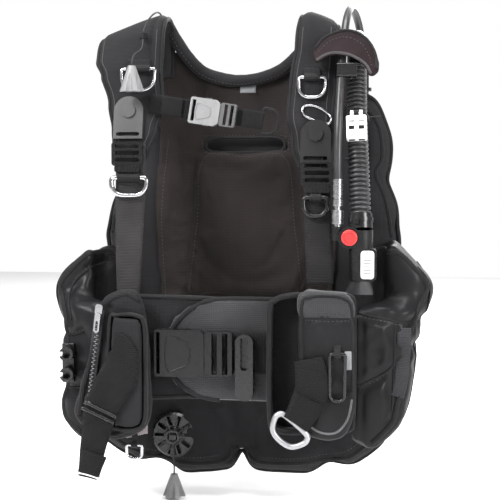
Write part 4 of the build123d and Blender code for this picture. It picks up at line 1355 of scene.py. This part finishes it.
# ------------------------------------------------------------------ pillows, from an outline
def slab(name, line, y_back, y_front):
    """A flat solid between two depths, from a closed line seen from the front."""
    work = bmesh.new()
    face = work.faces.new([work.verts.new((p.x, y_front * MM, p.z)) for p in line])
    pushed = bmesh.ops.extrude_face_region(work, geom=[face])
    moved = [v for v in pushed["geom"] if isinstance(v, bmesh.types.BMVert)]
    bmesh.ops.translate(work, vec=(0, (y_back - y_front) * MM, 0), verts=moved)
    bmesh.ops.recalc_face_normals(work, faces=work.faces)
    mesh = bpy.data.meshes.new(name)
    work.to_mesh(mesh)
    work.free()
    return add_object(name, mesh)


def pillow(name, points, y_back, y_front, voxel, rounds):
    """A softened solid between two depths, from an outline of (x, z) in millimetres."""
    outline = front_line(points, 6 * MM, closed=True)
    return softened(slab(name, outline, y_back, y_front), voxel, rounds)


# ------------------------------------------------------------------ zipped pocket on the right hip
pocket_outline = (
    (-122, -42), (-148, -52), (-158, -66), (-167, -112), (-181, -165), (-188, -200), (-164, -218),
    (-136, -226), (-98, -204), (-97, -140), (-100, -90), (-108, -52),
)
pocket = pillow("cargo_pocket_cloth", pocket_outline, -300, -316.5, 3.5, 4)
inflate(
    pocket, lambda co: (0.4 if co.y > -0.304 else 3.0) * MM,
    [front_line(((-148, -62), (-156, -112), (-166, -176)))], 4.0, seam_width=3,
)
front_crease(pocket, ((-144, -64), (-150, -110), (-160, -178)), 3.5, 4)
rumple(pocket, 1.4 * MM, 34, keep=lambda co: clamp((-304 - co.y / MM) / 6))
subdivide(pocket)
cover(pocket, "cargo_pocket", CLOTH)
pocket_surface = surface_of(pocket)
trim(pocket_surface, (
    ("pocket_binding", (
        (-104, -58), (-122, -47), (-146, -56), (-155, -70), (-163, -112), (-177, -165), (-183, -198),
    ), 3.2, BINDING, 0.55),
    ("pocket_low_binding", ((-180, -206), (-160, -214), (-136, -221), (-104, -202)), 2.6, BINDING, 0.55),
))
ZIP_TOP, ZIP_LOW = (-155.5, -66), (-170.5, -184)
ZIP_Y = -318.6
tape_line = [mm(ZIP_TOP[0] + (ZIP_LOW[0] - ZIP_TOP[0]) * s, ZIP_Y, ZIP_TOP[1] + (ZIP_LOW[1] - ZIP_TOP[1]) * s)
             for s in (0, 0.25, 0.5, 0.75, 1)]
band("zipper_tape", smooth_line(tape_line), 0.012, 1.2 * MM, ELASTIC)
teeth_points, teeth_faces = [], []
zip_run = tape_line[-1] - tape_line[0]
TOOTH_PITCH = 2.6 * MM
TOOTH_OFFSET = 0.9 * MM  # to either side of the tape's middle
TOOTH_HEIGHT = 1.3 * MM  # above the tape
TOOTH_LENGTH, TOOTH_WIDTH, TOOTH_DEPTH = 0.8 * MM, 1.7 * MM, 0.7 * MM  # halves of a tooth's sizes
TOOTH_TAPER = 0.7
ahead = zip_run.normalized()
across = ahead.cross(Vector(FORWARD))
for k in range(int(zip_run.length / TOOTH_PITCH)):
    side = 1 if k % 2 else -1
    middle = tape_line[0] + ahead * (k + 0.5) * TOOTH_PITCH + across * side * TOOTH_OFFSET
    middle.y -= TOOTH_HEIGHT
    first = len(teeth_points)
    for a, b, c in CUBE_CORNERS:
        taper = 1.0 if c < 0 else TOOTH_TAPER
        in_plane = ahead * (a * TOOTH_LENGTH * taper) + across * (b * TOOTH_WIDTH * taper)
        teeth_points.append(middle + in_plane + Vector((0, -c * TOOTH_DEPTH, 0)))
    teeth_faces.extend(tuple(first + i for i in face) for face in CUBE_FACES)
mesh_piece("zipper_teeth", teeth_points, teeth_faces, LIGHT)
lining = padded_strip(
    "pocket_lining_flap", smooth_line([mm(x, -303.5, 0) for x in (-146, -124, -100)], 3 * MM), (0, 0, 1),
    *stations((0, -222, -208), (0.4, -228, -206), (1, -222, -198)), 3.0 * MM, LINING, wrinkle=1.0 * MM,
)


# ------------------------------------------------------------------ weight holders and pouches
def tray(name, points, y_back, y_front, wall, rim):
    """A soft box that is open to the front: a wall round an outline, a back sheet and a bound rim."""
    line = front_line(points, 4 * MM, closed=True)
    middle = (y_back + y_front) / 2
    deep = abs(y_back - y_front) / 2 * MM
    wall_line = [p + Vector((0, middle * MM, 0)) for p in line]
    half = wall / 2 * MM
    section = [(-half, -deep), (half, -deep), (half * 1.2, 0), (half, deep), (-half, deep), (-half * 0.8, 0)]
    walls = sweep_section(name + "_walls", wall_line, section, CLOTH, up=FORWARD, closed=True)
    rumple(walls, 0.6 * MM, 60)
    back_sheet = slab(name + "_back", line, y_back + 0.2, y_back - 1.2)
    finish_piece(back_sheet, INNER, "vest", smooth=False)
    rim_line = [p + Vector((0, (y_front + 1.0) * MM, 0)) for p in line]
    rod_along(name + "_rim", rim_line, rim * MM, BINDING, flat=0.8, up=FORWARD, closed=True)
    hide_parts("weight_holders")


tray("holder_left", (
    (54.5, -70), (60, -52), (80, -45.5), (120, -45.5), (150, -47), (154.5, -70), (154.5, -186), (146, -207),
    (106, -210), (64, -209), (54.5, -186),
), -297.6, -321.5, 3.0, 3.4)
tray("holder_right", (
    (-141, -84), (-132, -72), (-108, -72), (-98, -84), (-97, -140), (-98, -200), (-112, -212), (-132, -211),
    (-141, -196),
), -318.8, -330, 2.4, 2.2)

pouch_outline = (
    (92, -44), (118, -41), (146, -44), (155, -60), (156, -110), (158, -160), (152, -196), (138, -214),
    (114, -214), (98, -204), (93, -150), (91, -90),
)
pouch = pillow("weight_pouch_left_cover", pouch_outline, -303, -333, 4.0, 4)
pouch_seams = [
    front_line(((94, -68), (120, -70), (154, -70))), front_line(((100, -72), (101, -130), (106, -196))),
]
inflate(
    pouch, lambda co: (0.6 if abs(co.x - 0.123) > 0.027 and co.y > -0.322 else 2.4) * MM, pouch_seams, 3.0,
    seam_width=2.5,
)
crease(pouch, pouch_seams, 1.4 * MM, 1.8 * MM, FORWARD)
front_crease(pouch, ((150, -150), (132, -160), (112, -154)), 1.8, 6)
rumple(pouch, 0.9 * MM, 30, (1, 1, 0.6), keep=lambda co: clamp((-318 - co.y / MM) / 8))
subdivide(pouch)
finish_piece(pouch, LEATHER, "weight_pouch_left")
# the pouch's top flap is of another cloth
pouch.data.materials.append(SATIN)
for face in pouch.data.polygons:
    face.material_index = 1 if face.center.z > -69 * MM else 0
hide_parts("weight_pouch_left")
pouch_surface = surface_of(pouch)
trim(
    pouch_surface,
    (
        ("pouch_stitches_top", ((98, -66), (124, -67), (151, -66))),
        ("pouch_stitches_low", ((98, -73), (124, -74), (151, -73))),
        ("pouch_piping", ((154, -166), (149, -190), (136, -206), (118, -207), (104, -200)), 1.4, PIPING, 0.9),
        (
            "pouch_binding",
            (
                (95, -196), (95, -120), (94, -56), (104, -46), (124, -44), (144, -47), (153, -60),
                (154, -110), (155, -156),
            ),
            1.8, BINDING, 0.8,
        ),
    ),
    "weight_pouch_left",
)
tag_line = lay_on(pouch_surface, front_line(((149, -109), (149.5, -120), (150, -131))), lift=0.5 * MM)
band("pouch_blank_tag", tag_line, 0.008, 0.9 * MM, LABEL, "weight_pouch_left")
ring_tab = smooth_line(
    [
        mm(137, y, z)
        for y, z in ((-333, -100), (-337, -104), (-341.8, -110), (-341.6, -114), (-338, -116.5), (-334, -121))
    ],
    2 * MM,
)
band("pocket_ring_tab", ring_tab, 0.0085, 1.4 * MM, WEBBING, "weight_pouch_left")

right_pouch_outline = (
    (-137, -82), (-130, -76), (-108, -76), (-101.5, -84), (-101, -140), (-102, -198), (-112, -208),
    (-130, -207), (-137, -196),
)
right_pouch = pillow("weight_pouch_right_cover", right_pouch_outline, -322.4, -334, 3.2, 3)
rumple(right_pouch, 0.8 * MM, 40)
subdivide(right_pouch)
cover(right_pouch, "weight_pouch_right", CLOTH, "weight_pouch_right")


# ------------------------------------------------------------------ pull handles
def handle_ring(name, centre, turn, width, drop, corner, radius, material, body):
    """A rounded D ring with its straight bar at the top."""
    half = width / 2
    left_half = [
        (0, -drop), (-half * 0.62, -drop * 0.88), (-half * 0.96, -drop * 0.45), (-half + 0.5, -corner * 0.35),
    ]
    right_half = [(-x, z) for x, z in reversed(left_half[1:])]
    shape = [(-half + corner * 0.5, 0), (half - corner * 0.5, 0), *right_half, *left_half]
    tilt = math.radians(turn)
    line = []
    for x, z in shape:
        turned_x = centre[0] + x * math.cos(tilt) + z * math.sin(tilt)
        turned_z = centre[2] - x * math.sin(tilt) + z * math.cos(tilt)
        line.append(mm(turned_x, centre[1], turned_z))
    line = smooth_line(line, 2 * MM, closed=True)
    return rod_along(name, line, radius * MM, material, body, up=FORWARD, closed=True, sides=16)


RIGHT = "pull_handle_right"
upper_line = line_through((
    (-128, -336.4, -94), (-122, -337.2, -112), (-124, -338, -136), (-138, -338.2, -162), (-150, -338, -184),
), 2.5 * MM)
right_upper = band(
    "pull_strap_right_upper", upper_line, 0.04, 2.2 * MM, BELTING, RIGHT,
    widths=share_width(7, 36, 47, 45, 41),
)
lower_line = line_through(
    (
        (-149, -337.2, -182), (-155, -336.6, -208), (-161, -337, -236), (-165, -337.4, -262),
        (-166.5, -338, -271),
    ),
    2.5 * MM,
)
right_lower = band(
    "pull_strap_right_lower", lower_line, 0.04, 2.2 * MM, BELTING, RIGHT,
    widths=share_width(40, 38, 33, 29, 26),
)
fold_line = line_through(((-158, -338.8, -240), (-163, -339.2, -256), (-166.5, -340.8, -270)), 2.5 * MM)
band("pull_strap_right_fold", fold_line, 0.03, 1.8 * MM, BELTING, RIGHT, widths=share_width(32, 29, 26))
right_ring = handle_ring("pull_ring_right", (-166, -338.2, -268), 14, 36, 34, 13, 3.3, WHITE, RIGHT)
for piece in (right_upper, right_lower, right_ring):
    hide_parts(RIGHT)
LADDER_TURN = math.radians(24)
side = Vector((math.cos(LADDER_TURN), 0, -math.sin(LADDER_TURN)))
for index, (x, z) in enumerate(((-150, -186), (-153.5, -193))):
    bar = [mm(x, -340.2, z) + side * s * MM for s in (-22, -8, 8, 22)]
    rod_along(f"ladder_bar_right_{index}", smooth_line(bar), 2.0 * MM, BLACK, RIGHT, flat=0.8, up=FORWARD)

LEFT = "pull_handle_left"
left_line = line_through(
    (
        (102.5, -338.6, -118.5), (106, -339.2, -137), (106.5, -339.4, -158), (97.5, -339.2, -180),
        (88, -338.6, -195.5),
    ),
    2.5 * MM,
)
left_pull = band(
    "pull_strap_left", left_line, 0.036, 2.2 * MM, BELTING, LEFT, widths=share_width(34, 38, 41, 39, 34),
)
band(
    "pull_strap_left_fold",
    line_through(((104, -341, -166), (97.5, -341, -180), (87.5, -341.8, -196)), 2.5 * MM), 0.03, 1.8 * MM,
    BELTING, LEFT, widths=share_width(36, 35, 32),
)
left_ring = handle_ring("pull_ring_left", (87, -338.2, -197), 40, 46, 27, 14, 3.5, ALLOY, LEFT)
for piece in (left_pull, left_ring):
    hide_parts(LEFT)


# ------------------------------------------------------------------ sleeve over the hoses, and small keepers
sleeve = pillow(
    "hose_sleeve_cover",
    (
        (99, 254), (112, 270), (138, 279), (161, 271), (176, 250), (180, 224), (169, 217), (161, 232),
        (143, 243), (120, 245), (102, 236),
    ),
    5.5, -5.5, 2.6, 3,
)
# the sleeve arches forward over the hoses and leans back towards its top
SLEEVE_MIDDLE, SLEEVE_HALF, SLEEVE_ARCH, SLEEVE_LEAN = 139, 42, 5, 0.45
for v in sleeve.data.vertices:
    arch = SLEEVE_ARCH * (1 - ((v.co.x / MM - SLEEVE_MIDDLE) / SLEEVE_HALF) ** 2)
    v.co.y += (-257 - arch + SLEEVE_LEAN * (v.co.z / MM - 208)) * MM
rumple(sleeve, 1.0 * MM, 45)
subdivide(sleeve)
cover(sleeve, "hose_sleeve", NEOPRENE)
sleeve_surface = surface_of(sleeve)
trim(
    sleeve_surface,
    (
        (
            "sleeve_low_binding", ((103, 239), (120, 247.5), (143, 245.5), (163, 234), (171, 221)), 1.7,
            THREAD, 0.7,
        ),
        (
            "sleeve_top_binding",
            ((101, 253), (113, 268), (138, 276.5), (160, 269), (174, 250), (177.5, 227)), 1.7, BINDING, 0.7,
        ),
        ("sleeve_stitches", ((106, 250), (118, 262), (138, 268), (156, 261), (167, 246), (171, 231))),
    ),
)
keepers = soft_copy("webbing_loops", "loops_and_keepers", 1.1, 2)
finish_piece(keepers, BINDING, "vest")
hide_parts("loops_and_keepers")


# ------------------------------------------------------------------ tank band and carry handle
TANK_RADIUS = 92
low_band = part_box("tank_band")[0]
band_radius = (-low_band.x / MM + TANK_RADIUS) / 2
turns = [math.radians(a) for a in range(-45, 226, 9)]
band_line = [mm(band_radius * math.cos(a), band_radius * math.sin(a), 0) for a in turns]
flat_y = low_band.y / MM + 1.5
band_line = [
    mm(30, flat_y, 0), mm(50, flat_y, 0), *band_line, mm(-50, flat_y, 0), mm(-20, flat_y, 0),
    mm(28, flat_y, 0),
]
tank_band = band(
    "tank_band_webbing", smooth_line(band_line, 4 * MM), 0.050, 2.8 * MM, WEBBING,
    up=lambda p: Vector((p.x, p.y, 0)).normalized(),
)
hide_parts("tank_band")
handle_line = smooth_line(
    [
        mm(x, y, 180)
        for x, y in (
            (-62, -135.4), (-50, -135), (-42, -124), (-36, -109), (-26, -104.5), (0, -104), (26, -104.5),
            (36, -109), (42, -124), (50, -135), (62, -135.4),
        )
    ],
    3 * MM,
)
handle = band("carry_handle_webbing", handle_line, 0.028, 3.0 * MM, WEBBING, up=(0, 1, 0))
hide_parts("carry_handle")


# ------------------------------------------------------------------ floor and light
floor_mesh = bpy.data.meshes.new("floor")
FLOOR_HALF = 3.2
FLOOR_GAP = 0.004  # between the floor and the lowest point of the part
corners = [(a * FLOOR_HALF, b * FLOOR_HALF, 0) for a, b in ((-1, -1), (1, -1), (1, 1), (-1, 1))]
floor_mesh.from_pydata(corners, [], [(0, 1, 2, 3)])
floor = add_object("floor", floor_mesh)
floor.location.z = low_box.z - FLOOR_GAP
paper = bpy.data.materials.new("floor_paper")
paper.use_nodes = True
paper_inputs = paper.node_tree.nodes["Principled BSDF"].inputs
paper_inputs["Base Color"].default_value = (0.97, 0.97, 0.97, 1)
paper_inputs["Roughness"].default_value = 0.9
floor_mesh.materials.append(paper)

world = bpy.data.worlds.new("world")
scene.world = world
world.use_nodes = True
# the sky is white behind the vest and greyer all round, so dark gloss keeps its contrast
sky = world.node_tree.nodes
direction = sky.new("ShaderNodeTexCoord")
parts = sky.new("ShaderNodeSeparateXYZ")
shade = sky.new("ShaderNodeMapRange")
for socket, value in (("From Min", 0.82), ("From Max", 0.9), ("To Min", 0.5), ("To Max", 1.0)):
    shade.inputs[socket].default_value = value
join = world.node_tree.links.new
join(direction.outputs["Generated"], parts.inputs["Vector"])
join(parts.outputs["Y"], shade.inputs["Value"])
join(shade.outputs["Result"], sky["Background"].inputs["Strength"])
sky["Background"].inputs["Color"].default_value = (1, 1, 1, 1)

for name, place, size, power in (
    ("key", (-1.1, -1.5, 1.3), 0.6, 66), ("fill", (1.5, -1.3, 0.5), 0.7, 34),
    ("top", (0.0, -0.4, 1.7), 1.0, 44), ("rear", (0.6, 2.4, 1.5), 1.6, 70),
):
    lamp_data = bpy.data.lights.new(name, "AREA")
    lamp_data.size = size
    lamp_data.energy = power
    lamp = add_object(name, lamp_data)
    lamp.location = place
    lamp.rotation_euler = (Vector(place) - TARGET).to_track_quat("Z", "Y").to_euler()

scene.view_settings.view_transform = "Standard"
